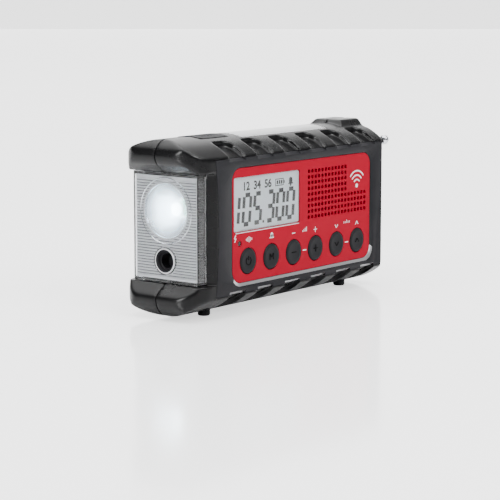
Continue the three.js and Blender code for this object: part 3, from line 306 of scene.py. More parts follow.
def material(name, settings):
    made = bpy.data.materials.new(name)
    made.use_nodes = True
    nodes = made.node_tree.nodes
    link = made.node_tree.links.new
    shader = nodes["Principled BSDF"]
    colour = settings["colour"]
    surface = nodes.new("ShaderNodeGroup")
    surface.node_tree = surfaceGroup
    surface.inputs["Grain Scale"].default_value = settings.get("grain", 1500)
    surface.inputs["Patch Scale"].default_value = settings.get("patch", 25)
    surface.inputs["Roughness"].default_value = settings.get("rough", 0.4)
    surface.inputs["Spread"].default_value = settings.get("spread", 0.1)
    link(surface.outputs["Gloss"], shader.inputs["Roughness"])
    worn = nodes.new("ShaderNodeGroup")
    worn.node_tree = colourGroup
    worn.inputs["Colour"].default_value = (*colour, 1)
    worn.inputs["Rubbed"].default_value = (*settings.get("rubbed", colour), 1)
    worn.inputs["Wear"].default_value = settings.get("wear", 0)
    worn.inputs["Mottle"].default_value = settings.get("mottle", 0.08)
    link(worn.outputs["Colour"], shader.inputs["Base Color"])
    if settings.get("bump", 0) > 0:
        bump = nodes.new("ShaderNodeBump")
        bump.inputs["Strength"].default_value = settings["bump"]
        bump.inputs["Distance"].default_value = settings.get("depth", 0.00005)
        link(surface.outputs["Height"], bump.inputs["Height"])
        link(bump.outputs["Normal"], shader.inputs["Normal"])
    shader.inputs["Metallic"].default_value = settings.get("metal", 0)
    shader.inputs["Coat Weight"].default_value = settings.get("coat", 0)
    shader.inputs["Coat Roughness"].default_value = settings.get("coatRough", 0.2)
    shader.inputs["Transmission Weight"].default_value = settings.get("clear", 0)
    shader.inputs["IOR"].default_value = settings.get("ior", 1.49)
    shader.inputs["Specular IOR Level"].default_value = settings.get("shine", 0.5)
    glow = settings.get("glow", 0)
    if glow:
        shader.inputs["Emission Color"].default_value = (*settings["glowColour"], 1)
        shader.inputs["Emission Strength"].default_value = glow
    return made


finishes = {
    "armour": {"colour": (0.002, 0.002, 0.0024), "rubbed": (0.015, 0.015, 0.017), "wear": 0.4, "rough": 0.27,
               "spread": 0.12, "grain": 2600, "bump": 0.22, "shine": 0.3},
    # painted light: the bezel is given a lighter grey than the armour, a lit copy of the same black plastic for the
    # front face
    "bezel": {"colour": (0.009, 0.009, 0.011), "rubbed": (0.05, 0.05, 0.055), "wear": 0.3, "rough": 0.45,
              "spread": 0.12, "grain": 2200, "bump": 0.3, "shine": 0.12},
    # painted highlight: silver for the lit lower bevel of the panel opening
    "bevelHighlight": {"colour": (0.62, 0.62, 0.64), "metal": 0.85, "rough": 0.3, "grain": 1800, "bump": 0.1},
    "panel": {"colour": (0.33, 0.0015, 0.017), "rubbed": (0.4, 0.03, 0.04), "wear": 0.1, "rough": 0.4,
              "spread": 0.1, "grain": 2400, "bump": 0.2, "mottle": 0.04, "shine": 0.05},
    "rubber": {"colour": (0.011, 0.011, 0.013), "rubbed": (0.03, 0.03, 0.034), "wear": 0.5, "rough": 0.5,
               "spread": 0.15, "grain": 3000, "bump": 0.4, "shine": 0.15},
    "legend": {"colour": (0.002, 0.002, 0.0025), "rough": 0.7, "grain": 3000, "bump": 0.2, "shine": 0.1},
    "ink": {"colour": (0.8, 0.8, 0.8), "rough": 0.55, "grain": 4000, "bump": 0.1, "mottle": 0.05},
    "clear": {"colour": (0.97, 0.985, 1.0), "rough": 0.03, "spread": 0.02, "clear": 1.0, "mottle": 0.0,
              "grain": 400, "bump": 0.02},
    "lcdGround": {"colour": (0.86, 0.92, 0.94), "rough": 0.35, "grain": 5000, "bump": 0.05, "mottle": 0.05,
                  "shine": 0.2},
    "lcdInk": {"colour": (0.002, 0.002, 0.003), "rough": 0.5, "mottle": 0.02, "shine": 0.1},
    "silver": {"colour": (0.82, 0.84, 0.87), "metal": 1, "rough": 0.16, "spread": 0.1, "grain": 900, "bump": 0.1},
    "plate": {"colour": (0.74, 0.75, 0.77), "metal": 0.6, "rough": 0.3, "grain": 1400, "bump": 0.15},
    "steel": {"colour": (0.5, 0.51, 0.53), "metal": 1, "rough": 0.3, "spread": 0.15, "grain": 1200, "bump": 0.2},
    "board": {"colour": (0.01, 0.09, 0.03), "rough": 0.35, "grain": 700, "bump": 0.4},
    "cells": {"colour": (0.004, 0.006, 0.02), "rough": 0.22, "grain": 600, "bump": 0.1, "mottle": 0.4},
    "gear": {"colour": (0.75, 0.72, 0.62), "rough": 0.45, "grain": 1500, "bump": 0.2},
    "cone": {"colour": (0.006, 0.006, 0.007), "rough": 0.85, "grain": 900, "bump": 0.8, "shine": 0.1},
    "battery": {"colour": (0.03, 0.12, 0.33), "rough": 0.3, "grain": 800, "bump": 0.1},
    "lampGlow": {"colour": (1.0, 1.0, 1.0), "rough": 0.3, "glow": 160, "glowColour": (0.86, 0.94, 1.0)},
    # painted glow: the clear optic is given emission of its own for the lamp's light in it
    "lampOptic": {"colour": (0.97, 0.99, 1.0), "rough": 0.2, "clear": 0.8, "glow": 3, "glowColour": (0.72, 0.89, 1.0)},
    # painted shade for the creases between the lamp plate's ribs
    "grooveShade": {"colour": (0.1, 0.1, 0.11), "rough": 0.5, "metal": 0.3},
}
mats = {name: material(name, settings) for name, settings in finishes.items()}
for node, piece in frame["nodes"].items():
    slotOfNode = next(s["material_slot"] for s in frame["record"]["subparts"] if s["node"] == node)
    chosen = {"screen": "lcdGround"}.get(slotOfNode, slotOfNode)
    piece.data.materials.clear()
    piece.data.materials.append(mats[chosen])
print("materials made")

# case: one crowned body cut into a front and a rear half, each with six pockets along both shoulders
case = {"edge": 38.25, "crown": 48.3, "bumper": 16, "nose": 36.5, "planRound": 15, "hump": 2.2, "humpLength": 27,
        "humpRamp": 7, "pocketFirst": 30.6, "pocketPitch": 25, "pocketWidth": 14, "pocketReach": 13, "pocketCorner": 6,
        "edgeDrop": 2.6, "crownDrop": 3.4, "lensHalf": 30.3, "faceTurn": 4.4, "lensDepth": 23, "voxel": 0.6,
        "seam": 0.15, "over": 6}
endWall = leftEnd + case["bumper"]


def caseBlank():
    tall = case["crown"] + 8
    body = toObject(crowned(halfDepth, case["edge"], case["crown"], leftEnd, rightEnd))
    nose, lens, top = case["nose"], case["lensHalf"], case["crown"] + 0.2
    side = []
    for s in (1, -1):
        upper = [(endWall, s * lens, 0), (lensLo.x, s * lens, 0), (leftEnd, s * nose, 3),
                 (leftEnd, s * top, 11), (rightEnd, s * top, 5)]
        side += upper if s > 0 else upper[::-1]
    side = [(x, midZ + z, r) for x, z, r in side]
    combine(body, bar(side, "y", -halfDepth - 5, halfDepth + 5, 12), "INTERSECT")
    hump = box(rightEnd - case["humpLength"], rightEnd, -16, 16, midZ + 42, midZ + case["crown"] + case["hump"])
    for vert in hump.verts:
        if vert.co.z > midZ + 45:
            vert.co.y *= 9 / 16
            if vert.co.x < 0 or vert.co.x < rightEnd - case["humpLength"] + 1:
                vert.co.x += case["humpRamp"]
    combine(body, hump, "UNION")
    r = case["planRound"]
    plan = [(leftEnd, -halfDepth, r), (rightEnd, -halfDepth, 2), (rightEnd, halfDepth, 2), (leftEnd, halfDepth, r)]
    combine(body, bar(plan, "z", midZ - tall, midZ + tall, 14), "INTERSECT")
    faceEdge = endWall + case["faceTurn"] - 0.8
    deep = case["lensDepth"]
    recess = [(leftEnd - 5, -halfDepth - 5, 0), (faceEdge, -halfDepth - 5, 0), (faceEdge, -halfDepth, 0),
              (endWall, -deep, 0), (endWall, deep, 0), (faceEdge, halfDepth, 0), (faceEdge, halfDepth + 5, 0),
              (leftEnd - 5, halfDepth + 5, 0)]
    combine(body, bar(recess, "z", midZ - lens, midZ + lens))
    return body


def pocketTool(side):
    reach = halfDepth - case["pocketReach"]
    pockets = []
    for i in range(6):
        x0 = leftEnd + case["pocketFirst"] + i * case["pocketPitch"]
        x1 = x0 + case["pocketWidth"]
        corners = [(x0, side * (halfDepth + 6), 0), (x1, side * (halfDepth + 6), 0),
                   (x1, side * reach, case["pocketCorner"]), (x0, side * reach, 1.2)]
        pockets.append(bar(corners, "z", midZ - case["crown"] - 6, midZ + case["crown"] + 6))
    tool = toObject(together(*pockets))
    floorEdge = case["edge"] - case["edgeDrop"]
    floor = toObject(crowned(halfDepth, floorEdge, case["crown"] - case["crownDrop"], leftEnd, rightEnd))
    combine(floor, box(leftEnd, rightEnd, -halfDepth - 9, halfDepth + 9, midZ - floorEdge, midZ + floorEdge), "UNION")
    combine(tool, floor)
    return tool


def softenEnd(piece):  # the moulded bumpers flow into the long shoulders, so the flashlight end is relaxed most
    bm = bmesh.new()
    bm.from_mesh(piece.data)
    start = leftEnd + 34
    face = halfDepth - 0.9
    for turn in range(9):
        limit = start - turn * 2
        soft = [v for v in bm.verts if v.co.x < limit and abs(v.co.z - midZ) > case["lensHalf"] + 0.9
                and abs(v.co.y) > 0.9]
        bmesh.ops.smooth_vert(bm, verts=soft, factor=0.5, use_axis_x=True, use_axis_y=True, use_axis_z=True)
    for turn in range(2):
        bmesh.ops.smooth_vert(bm, verts=[v for v in bm.verts if abs(v.co.y) > 0.9 and abs(v.co.y) < face], factor=0.25,
                              use_axis_x=True, use_axis_y=True, use_axis_z=True)
    for turn in range(8):  # the hump over the antenna end is moulded round
        soft = [v for v in bm.verts if v.co.z > midZ + case["crown"] - 3.2 and v.co.x > rightEnd - 36 and abs(v.co.y) > 0.9
                and abs(v.co.y) < 17]
        bmesh.ops.smooth_vert(bm, verts=soft, factor=0.5, use_axis_x=True, use_axis_y=True, use_axis_z=True)
    bm.to_mesh(piece.data)
    bm.free()


well = {"radius": 34, "depth": 15.5, "floor": 2}
crankX = edges("crank_gear")[0].x / 2 + edges("crank_gear")[1].x / 2
screwNodes = ["screw_1", "screw_2", "screw_3", "screw_4"]
footNodes = ["foot_1", "foot_2", "foot_3", "foot_4"]
lightLo, lightHi = edges("light_button")
solarLo, solarHi = edges("solar_cover")
coverLo, coverHi = edges("port_cover")
cellsLo, cellsHi = edges("solar_cells")


def middle(node):
    lo, hi = edges(node)
    return (lo + hi) / 2


def sharedCutters():
    lampX = middle("led_board").x
    cup = middle("reflector_cup")
    sound = middle("sounder")
    cutters = [
        box(lightLo.x - 0.3, lightHi.x + 0.3, lightLo.y - 0.3, lightHi.y + 0.3, midZ + 44.8, midZ + 60),
        box(solarLo.x - 0.3, solarHi.x + 0.3, solarLo.y - 0.3, solarHi.y + 0.3, cellsLo.z - 0.3, midZ + 60),
        box(coverLo.x - 0.3, coverHi.x + 5, coverLo.y - 0.3, coverHi.y + 0.3, coverLo.z - 0.3, coverHi.z + 0.3),
        roundBar("x", (0, 0, cup.z), 15.4, endWall - 3, lampX + 2),
        roundBar("x", (0, 0, sound.z), 7.2, endWall - 3, lampX + 2),
    ]
    for node in footNodes:
        spot = middle(node)
        cutters.append(roundBar("z", (spot.x, spot.y, 0), 3.8, -3, 3.7, 24))
    for node in ("usb_socket", "micro_usb_socket", "earphone_jack"):
        lo, hi = edges(node)
        cutters.append(box(lo.x - 4, coverLo.x + 0.5, lo.y - 0.3, hi.y + 0.3, lo.z - 0.3, hi.z + 0.3))
    return cutters


def makeShell(side):
    body = caseBlank()
    near, far = (case["seam"], 40) if side > 0 else (-40, -case["seam"])
    combine(body, box(-150, 150, near, far, -20, 130), "INTERSECT")
    combine(body, pocketTool(side))
    remesh = body.modifiers.new("even", "REMESH")
    remesh.mode = "VOXEL"
    remesh.voxel_size = case["voxel"]
    applyModifiers(body)
    softenEnd(body)
    insideFace = halfDepth - (4.7 if side < 0 else 2.5)
    cavityRight = rightEnd - 4.5
    hollow = toObject(crowned(insideFace, case["edge"] - 4, case["crown"] - 6, endWall + 2.5, cavityRight))
    if side < 0:
        seat = [(bezelHi.x + 0.3, bezelHi.z + 0.3, 0), (bezelHi.x + 0.3, bezelLo.z - 0.3, 0)]
        for i in range(17):
            t = i / 16 * 2 - 1
            bow = 2.5 * (1 - t * t) - 2.5
            seat.append((bezelLo.x + 2.2 + bow, midZ + t * (case["edge"] - 0.7), 0))
        combine(body, bar(seat, "y", -halfDepth - 6, bezelHi.y + 0.3))
        combine(body, box(panelLo.x + 2, panelHi.x - 2, -halfDepth - 1, -insideFace + 1, panelLo.z + 2, panelHi.z - 2))
    else:
        combine(hollow, roundBar("y", (crankX, 0, midZ), well["radius"] + 2, halfDepth - 17.5, 40))
        bay = edges("battery_door")
        combine(hollow, box(bay[0].x + 2, bay[1].x - 2, 5.6, 40, bay[0].z + 2, bay[1].z - 2))
    combine(body, hollow)
    for cutter in sharedCutters():
        combine(body, cutter)
    if side > 0:
        combine(body, roundBar("y", (crankX, 0, midZ), well["radius"], halfDepth - well["depth"], 40, 96))
        combine(body, roundBar("y", (crankX, 0, midZ), 3.8, 0, 20))
        lo, hi = doorLo, doorHi
        combine(body, box(lo.x - 0.3, hi.x + 0.3, lo.y - 0.3, 40, lo.z - 0.3, hi.z + 0.3))
        combine(body, box(lo.x + 3.5, hi.x - 3.5, 7.3, 40, lo.z + 3.5, hi.z - 3.5))
        for node in screwNodes:
            spot = middle(node)
            combine(body, roundBar("y", (spot.x, 0, spot.z), 3.5, halfDepth - 3.3, 40, 32))
            combine(body, roundBar("y", (spot.x, 0, spot.z), 1.6, -2, 40, 16))
    name = "rearShell" if side > 0 else "frontShell"
    return finish(body, name, "case", mats["armour"], ("rear_shell" if side > 0 else "front_shell",),
                  angle=50)


frontShell = makeShell(-1)
rearShell = makeShell(1)
print("case halves done")

# bezel: frame with a flared opening around the panel, coloured a lighter grey than the black armour as painted light on
# its front face
bezel = {"flare": 1.5, "sink": 1.0, "corner": 7, "bow": 2.5}


def roundedCorners(lo, hi, r):
    return [(lo.x, lo.z, r), (hi.x, lo.z, r), (hi.x, hi.z, r), (lo.x, hi.z, r)]


def grown(lo, hi, by):
    more = Vector((by, 0, by))
    return lo - more, hi + more


def makeBezel():
    outline = [(bezelHi.x, bezelLo.z, 1.5), (bezelHi.x, bezelHi.z, 1.5)]
    for i in range(17):
        t = 1 - i / 8
        outline.append((bezelLo.x + bezel["bow"] * (1 - t * t), midZ + t * (bezelHi.z - midZ), 0))
    plate = toObject(bar(outline, "y", bezelLo.y, bezelHi.y))
    lo, hi = grown(panelLo, panelHi, 0.3)
    combine(plate, bar(roundedCorners(lo, hi, bezel["corner"] + 0.3), "y", -halfDepth - 5, 0, 12))
    flare = bmesh.new()
    outlineFace(flare, roundedCorners(lo, hi, bezel["corner"] + 0.3), "y", panelLo.y, 12)
    made = bmesh.ops.extrude_face_region(flare, geom=flare.faces[:])
    upper = [g for g in made["geom"] if isinstance(g, bmesh.types.BMVert)]
    bmesh.ops.translate(flare, verts=upper, vec=(0, -bezel["sink"] - 0.4, 0))
    size = hi - lo
    wide = 2 * bezel["flare"] * 1.4
    centre = (lo + hi) / 2
    for vert in upper:
        vert.co.x = centre.x + (vert.co.x - centre.x) * (1 + wide / size.x)
        vert.co.z = centre.z + (vert.co.z - centre.z) * (1 + wide / size.z)
    bmesh.ops.recalc_face_normals(flare, faces=flare.faces[:])
    combine(plate, flare)
    combine(plate, pocketTool(-1))
    soften = plate.modifiers.new("edges", "BEVEL")
    soften.width = 0.22
    soften.segments = 2
    soften.limit_method = "ANGLE"
    soften.angle_limit = math.radians(35)
    applyModifiers(plate)
    bm = bmesh.new()  # the rounding must not stand out of the front face
    bm.from_mesh(plate.data)
    for vert in bm.verts:
        vert.co.y = max(vert.co.y, bezelLo.y)
    bm.to_mesh(plate.data)
    bm.free()
    piece = finish(plate, "bezelFrame", "case", mats["bezel"], ("front_bezel",))
    # painted highlight: the slanted faces along the bottom and lower right of the panel opening get a silver finish for
    # light caught on the up-facing bevel
    piece.data.materials.append(mats["bevelHighlight"])
    for face in piece.data.polygons:
        c = face.center * 1000
        slanted = 0.15 < abs(face.normal.y) < 0.95
        litLowSide = c.z < panelLo.z + 2 or (c.x > panelHi.x - 3 and c.z < panelLo.z + 14)
        if slanted and litLowSide and panelLo.x - 3 < c.x < panelHi.x + 3:
            face.material_index = 1
    return piece


makeBezel()
print("bezel done")

# red panel: drilled for the grille, keys, charge lamp and the display window
panel = {"corner": 7, "keyHole": 7.5, "lampHole": 1.7, "pitch": 3.3, "hole": 1.12, "rows": 9, "columns": 18,
         "shortRows": 5, "shortColumns": 12, "grilleInset": 5.3, "grilleTop": 24.7}


def makePanel():
    plate = toObject(bar(roundedCorners(panelLo, panelHi, panel["corner"]), "y", panelLo.y, panelHi.y, 12))
    lo, hi = grown(windowLo, windowHi, 0.3)
    front, back = panelLo.y - 2, panelHi.y + 2
    combine(plate, bar(roundedCorners(lo, hi, 1), "y", front, back, 4))
    for name in keyNames:
        spot = middle("key_" + name)
        combine(plate, roundBar("y", (spot.x, 0, spot.z), panel["keyHole"], front, back, 64))
    lamp = middle("charge_lamp")
    combine(plate, roundBar("y", (lamp.x, 0, lamp.z), panel["lampHole"], front, back, 24))
    drills = []
    last = panelHi.x - panel["grilleInset"]
    first = last - (panel["columns"] - 1) * panel["pitch"]
    for row in range(panel["rows"]):
        count = panel["shortColumns"] if row < panel["shortRows"] else panel["columns"]
        for column in range(count):
            x = first + column * panel["pitch"]
            z = midZ + panel["grilleTop"] - row * panel["pitch"]
            r = panel["hole"]
            square = [(x - r, z - r, 0.7), (x + r, z - r, 0.7), (x + r, z + r, 0.7), (x - r, z + r, 0.7)]
            drills.append(bar(square, "y", front, back, 3))
    combine(plate, together(*drills))
    return finish(plate, "redPanel", "case", mats["panel"], ("control_panel",), bevel=0.16, segments=2)


def makeCloth():  # dark woven cloth right behind the grille
    last = panelHi.x - panel["grilleInset"] + 2
    first = last - (panel["columns"] - 1) * panel["pitch"] - 4
    low = midZ + panel["grilleTop"] - (panel["rows"] - 1) * panel["pitch"] - 2
    high = midZ + panel["grilleTop"] + 2
    cloth = bar([(first, low, 1), (last, low, 1), (last, high, 1), (first, high, 1)], "y", panelHi.y + 0.03,
                panelHi.y + 0.2, 4)
    finish(toObject(cloth), "grilleCloth", "case", mats["cone"], bevel=0.05)


makePanel()
makeCloth()
print("panel done")


def label(text, x, z, size, y, name, body, mat, slotName, turn=0):  # generic marks only
    curve = bpy.data.curves.new(name, "FONT")
    curve.body = text
    curve.size = size
    curve.align_x = "CENTER"
    curve.align_y = "CENTER"
    curve.extrude = 0.04
    curve.offset = 0.2
    holder = bpy.data.objects.new(name, curve)
    scene.collection.objects.link(holder)
    graph = bpy.context.evaluated_depsgraph_get()
    mesh = bpy.data.meshes.new_from_object(holder.evaluated_get(graph))
    bpy.data.objects.remove(holder)
    mesh.transform(Matrix.Translation((x, y, z)) @ Matrix.Rotation(math.pi / 2, 4, "X") @ Matrix.Rotation(turn, 4, "Z"))
    piece = bpy.data.objects.new(name, mesh)
    scene.collection.objects.link(piece)
    return finish(piece, name, body, mat)


def mark(parts, name, body, mat, replaced=()):
    piece = toObject(together(*parts), name)
    return finish(piece, name, body, mat, replaced)


# keys: domed rubber caps with moulded symbols
keyCap = {"radius": 7.1, "edge": 0.9, "dish": 0.25}


def ringArc(x, y, z, r0, r1, depth, a0, a1, steps=28):  # a raised arc on a front face
    bm = bmesh.new()
    quad = [bm.verts.new(p) for p in ((r0, 0, 0), (r1, 0, 0), (r1, depth, 0), (r0, depth, 0))]
    for a, b in zip(quad, quad[1:] + quad[:1]):
        bm.edges.new((a, b))
    start = Matrix.Rotation(-a0, 3, "Y")
    bmesh.ops.rotate(bm, verts=bm.verts, cent=(0, 0, 0), matrix=start)
    bmesh.ops.spin(bm, geom=bm.verts[:] + bm.edges[:], cent=(0, 0, 0), axis=(0, 1, 0), angle=-(a1 - a0), steps=steps)
    rims = [e for e in bm.edges if e.is_boundary]
    bmesh.ops.holes_fill(bm, edges=rims, sides=4)
    bmesh.ops.translate(bm, verts=bm.verts, vec=(x, y, z))
    bmesh.ops.recalc_face_normals(bm, faces=bm.faces[:])
    return bm


def stroke(x0, z0, x1, z1, width, y0, y1):  # a straight bar between two points on a front face
    length = math.hypot(x1 - x0, z1 - z0)
    bm = box(-length / 2, length / 2, y0, y1, -width / 2, width / 2)
    turn = Matrix.Rotation(-math.atan2(z1 - z0, x1 - x0), 3, "Y")
    bmesh.ops.rotate(bm, verts=bm.verts, cent=(0, 0, 0), matrix=turn)
    bmesh.ops.translate(bm, verts=bm.verts, vec=((x0 + x1) / 2, 0, (z0 + z1) / 2))
    return bm


def makeKey(name):
    node = "key_" + name
    lo, hi = edges(node)
    spot = middle(node)
    r, y = keyCap["radius"], lo.y
    profile = [(0, hi.y), (3, hi.y), (3, hi.y - 1.9), (8.3, hi.y - 1.9), (8.3, panelHi.y + 0.35),
               (r, panelHi.y + 0.35), (r, y + 1.0), (r - 0.12, y + 0.5), (r - 0.5, y + 0.15), (r - 1.1, y + 0.02),
               (r - 2.2, y + 0.1), (r - 4, y + keyCap["dish"]), (0, y + keyCap["dish"] + 0.05)]
    cap = toObject(turned(profile, "y", (spot.x, 0, spot.z), 64))
    finish(cap, name + "Key", node, mats["rubber"], (node,), angle=40)
    front, back = y + 0.06, y + 0.5
    x, z, w = spot.x, spot.z, 0.55
    if name == "power":
        parts = [ringArc(x, front, z, 1.9, 2.45, back - front, math.radians(125), math.radians(415)),
                 stroke(x, z + 0.4, x, z + 2.7, w, front, back)]
    elif name == "menu":
        parts = [stroke(x - 1.6, z - 1.8, x - 1.6, z + 1.8, w, front, back),
                 stroke(x + 1.6, z - 1.8, x + 1.6, z + 1.8, w, front, back),
                 stroke(x - 1.6, z + 1.7, x, z - 0.4, w, front, back),
                 stroke(x, z - 0.4, x + 1.6, z + 1.7, w, front, back)]
    elif name == "minus":
        parts = [stroke(x - 2.1, z, x + 2.1, z, w, front, back)]
    elif name == "plus":
        parts = [stroke(x - 2.1, z, x + 2.1, z, w, front, back), stroke(x, z - 2.1, x, z + 2.1, w, front, back)]
    else:
        s = 1 if name == "up" else -1
        parts = [stroke(x - 1.9, z - s * 1.1, x, z + s * 1.1, w, front, back),
                 stroke(x, z + s * 1.1, x + 1.9, z - s * 1.1, w, front, back)]
    mark(parts, name + "Symbol", node, mats["legend"])


for name in keyNames:
    makeKey(name)
print("keys done")

# printed marks on the panel: plain signs only
prints = {"y": 0.05, "rise": 11.9, "size": 3.6}
inkFront = panelLo.y - 0.03
inkY = panelLo.y
spots = [middle("key_" + name) for name in keyNames]
rowZ = spots[0].z + prints["rise"]


def inkStroke(x0, z0, x1, z1, width):
    return stroke(x0, z0, x1, z1, width, inkFront, inkY + 0.1)


signs = [inkStroke(spots[2].x - 1.5, rowZ - 1, spots[2].x + 1.5, rowZ - 1, 0.5),
         inkStroke(spots[3].x - 1.6, rowZ - 1, spots[3].x + 1.6, rowZ - 1, 0.5),
         inkStroke(spots[3].x, rowZ - 2.6, spots[3].x, rowZ + 0.6, 0.5),
         inkStroke(spots[4].x - 1.4, rowZ - 0.4, spots[4].x, rowZ - 2.4, 0.5),
         inkStroke(spots[4].x, rowZ - 2.4, spots[4].x + 1.4, rowZ - 0.4, 0.5),
         inkStroke(spots[5].x - 1.4, rowZ - 2.4, spots[5].x, rowZ - 0.4, 0.5),
         inkStroke(spots[5].x, rowZ - 0.4, spots[5].x + 1.4, rowZ - 2.4, 0.5)]
for a, b in ((2, 3), (4, 5)):
    between = (spots[a].x + spots[b].x) / 2
    signs.append(inkStroke(between - 1.6, spots[a].z, between + 1.6, spots[a].z, 0.6))
lampSpot = middle("charge_lamp")
boltX, boltZ = lampSpot.x - 4.0, lampSpot.z + 3.2
signs += [inkStroke(boltX + 0.5, boltZ + 2, boltX - 0.8, boltZ, 0.6), inkStroke(boltX - 0.8, boltZ, boltX + 0.8, boltZ, 0.5),
          inkStroke(boltX + 0.8, boltZ, boltX - 0.6, boltZ - 2, 0.6)]
bandX, bellX = spots[0].x + 0.8, spots[1].x + 0.4  # a row of bars for the band, a bell for the alert
for i, tall in enumerate((1.2, 2.2, 3.2, 2.2, 1.2)):
    signs.append(inkStroke(bandX - 2.4 + i * 1.2, rowZ - tall / 2, bandX - 2.4 + i * 1.2, rowZ + tall / 2, 0.5))
signs += [roundBar("y", (bellX, 0, rowZ + 0.4), 1.25, inkFront, inkY + 0.1, 24),
          box(bellX - 1.25, bellX + 1.25, inkFront, inkY + 0.1, rowZ - 1.2, rowZ + 0.4),
          box(bellX - 1.9, bellX + 1.9, inkFront, inkY + 0.1, rowZ - 1.55, rowZ - 1.0)]
volX, tuneX = (spots[2].x + spots[3].x) / 2, (spots[4].x + spots[5].x) / 2
for i in range(4):  # rising bars for loudness, a tick scale for tuning
    signs.append(inkStroke(volX - 1.8 + i * 1.2, rowZ - 1.2, volX - 1.8 + i * 1.2, rowZ - 0.4 + i * 0.6, 0.55))
for i in range(5):
    signs.append(inkStroke(tuneX - 2.8 + i * 1.4, rowZ - 0.6, tuneX - 2.8 + i * 1.4, rowZ + (1.4 if i == 2 else 0.6), 0.45))
mark(signs, "panelSigns", "case", mats["ink"])
waveX, waveZ = panelHi.x - 13.5, midZ + 17.5  # three arcs over a dot, a plain sign for radio
waves = [ringArc(waveX, inkFront, waveZ - 5, r, r + 0.8, 0.12, math.radians(40), math.radians(140), 20)
         for r in (3.2, 5.8, 8.4)]
waves.append(roundBar("y", (waveX, 0, waveZ - 5), 1.2, inkFront, inkY + 0.1, 24))
mark(waves, "panelWaves", "case", mats["ink"])
print("prints done")

# display: grey ground, black segments, clear window
display = {"digitHeight": 16.0, "digitWidth": 7.4, "slant": 0.1, "thick": 2.5, "digits": "105300"}
moduleLo, moduleHi = edges("lcd_module")
lcdY = moduleLo.y
segments = {"a": ((0, 1), (1, 1)), "b": ((1, 1), (1, 0.5)), "c": ((1, 0.5), (1, 0)), "d": ((0, 0), (1, 0)),
            "e": ((0, 0.5), (0, 0)), "f": ((0, 1), (0, 0.5)), "g": ((0, 0.5), (1, 0.5))}
lit = {"0": "abcdef", "1": "ef", "3": "abgcd", "5": "afgcd"}


def digitStrokes(char, x0, z0, width, height, thick):
    parts = []
    for key in lit[char]:
        (u0, v0), (u1, v1) = segments[key]
        trim = thick * 0.36
        a = Vector((x0 + u0 * width, 0, z0 + v0 * height))
        b = Vector((x0 + u1 * width, 0, z0 + v1 * height))
        way = (b - a).normalized()
        a += way * trim
        b -= way * trim
        lean = display["slant"]
        parts.append(stroke(a.x + (a.z - z0) * lean, a.z, b.x + (b.z - z0) * lean, b.z, thick, lcdY - 0.05, lcdY + 0.02))
    return parts


def makeDisplay():
    left = windowLo.x
    bottom = windowLo.z
    parts = []
    x = left + 4.6
    gaps = [4.2, 9.6, 11.6, 9.2, 9.4, 9.0]
    widths = [0.1, 5.9, 5.9, 5.9, 5.9, 5.9]
    for i, char in enumerate(display["digits"]):
        parts += digitStrokes(char, x, bottom + 3.3, widths[i] if char != "1" else 0.1, display["digitHeight"],
                              display["thick"])
        x += gaps[i]
    parts.append(box(left + 26.6, left + 28.0, lcdY - 0.05, lcdY + 0.02, bottom + 2.6, bottom + 4.0))
    icons = windowHi.z - 5.4
    bx = windowLo.x + 38.4
    parts += [stroke(bx, icons + 1.8, bx + 7.4, icons + 1.8, 0.5, lcdY - 0.05, lcdY),
              stroke(bx, icons - 1.8, bx + 7.4, icons - 1.8, 0.5, lcdY - 0.05, lcdY),
              stroke(bx, icons - 1.8, bx, icons + 1.8, 0.5, lcdY - 0.05, lcdY),
              stroke(bx + 7.4, icons - 1.8, bx + 7.4, icons + 1.8, 0.5, lcdY - 0.05, lcdY),
              stroke(bx + 8.1, icons - 0.8, bx + 8.1, icons + 0.8, 0.9, lcdY - 0.05, lcdY)]
    for i in range(3):
        parts.append(box(bx + 1.1 + i * 2, bx + 2.5 + i * 2, lcdY - 0.05, lcdY, icons - 1.1, icons + 1.1))
    sx = windowLo.x + 52.6  # signal bell: dome, rim and clapper
    parts += [box(sx - 2.2, sx + 2.2, lcdY - 0.05, lcdY, icons - 1.9, icons - 1.2),
              roundBar("y", (sx, 0, icons + 0.5), 1.6, lcdY - 0.05, lcdY, 24),
              box(sx - 1.6, sx + 1.6, lcdY - 0.05, lcdY, icons - 1.4, icons + 0.6),
              roundBar("y", (sx, 0, icons - 2.4), 0.7, lcdY - 0.05, lcdY, 16)]
    mark(parts, "displaySegments", "case", mats["lcdInk"])
    row = windowHi.z - 5.4
    for i, digits in enumerate(("12", "34", "56")):
        label(digits, windowLo.x + 12 + i * 9.8, row, 6.4, lcdY - 0.02, "counter" + str(i + 1), "case", mats["lcdInk"],
              "screen")
    # painted highlight: a thin silver strip under the display window stands in for light caught on the lower edge of
    # the window's chamfer
    lipHighlight = bar([(windowLo.x + 1, windowLo.z - 1.1, 0.2), (windowHi.x - 0.5, windowLo.z - 1.1, 0.2),
               (windowHi.x - 0.5, windowLo.z - 0.6, 0.2), (windowLo.x + 1, windowLo.z - 0.6, 0.2)], "y",
              panelLo.y - 0.08, panelLo.y + 0.2, 3)
    mark([lipHighlight], "displayLipHighlight", "case", mats["silver"])
    pane = toObject(bar(roundedCorners(windowLo, windowHi, 1), "y", windowLo.y, windowHi.y, 6))
    finish(pane, "displayWindow", "case", mats["clear"], ("lcd_window",), bevel=0.12)


makeDisplay()
print("display done")

# flashlight: clear cover with a silver ring, silver plate with fine ribs, bright cup with a glowing lamp, sounder
flash = {"ribPitch": 1.55, "ribRadius": 0.5, "ring": 17.6, "cup": 14.9, "corner": 2}
lampCentre = middle("reflector_cup")
soundCentre = middle("sounder")
plateLo, plateHi = edges("reflector_plate")
cupLo, cupHi = edges("reflector_cup")


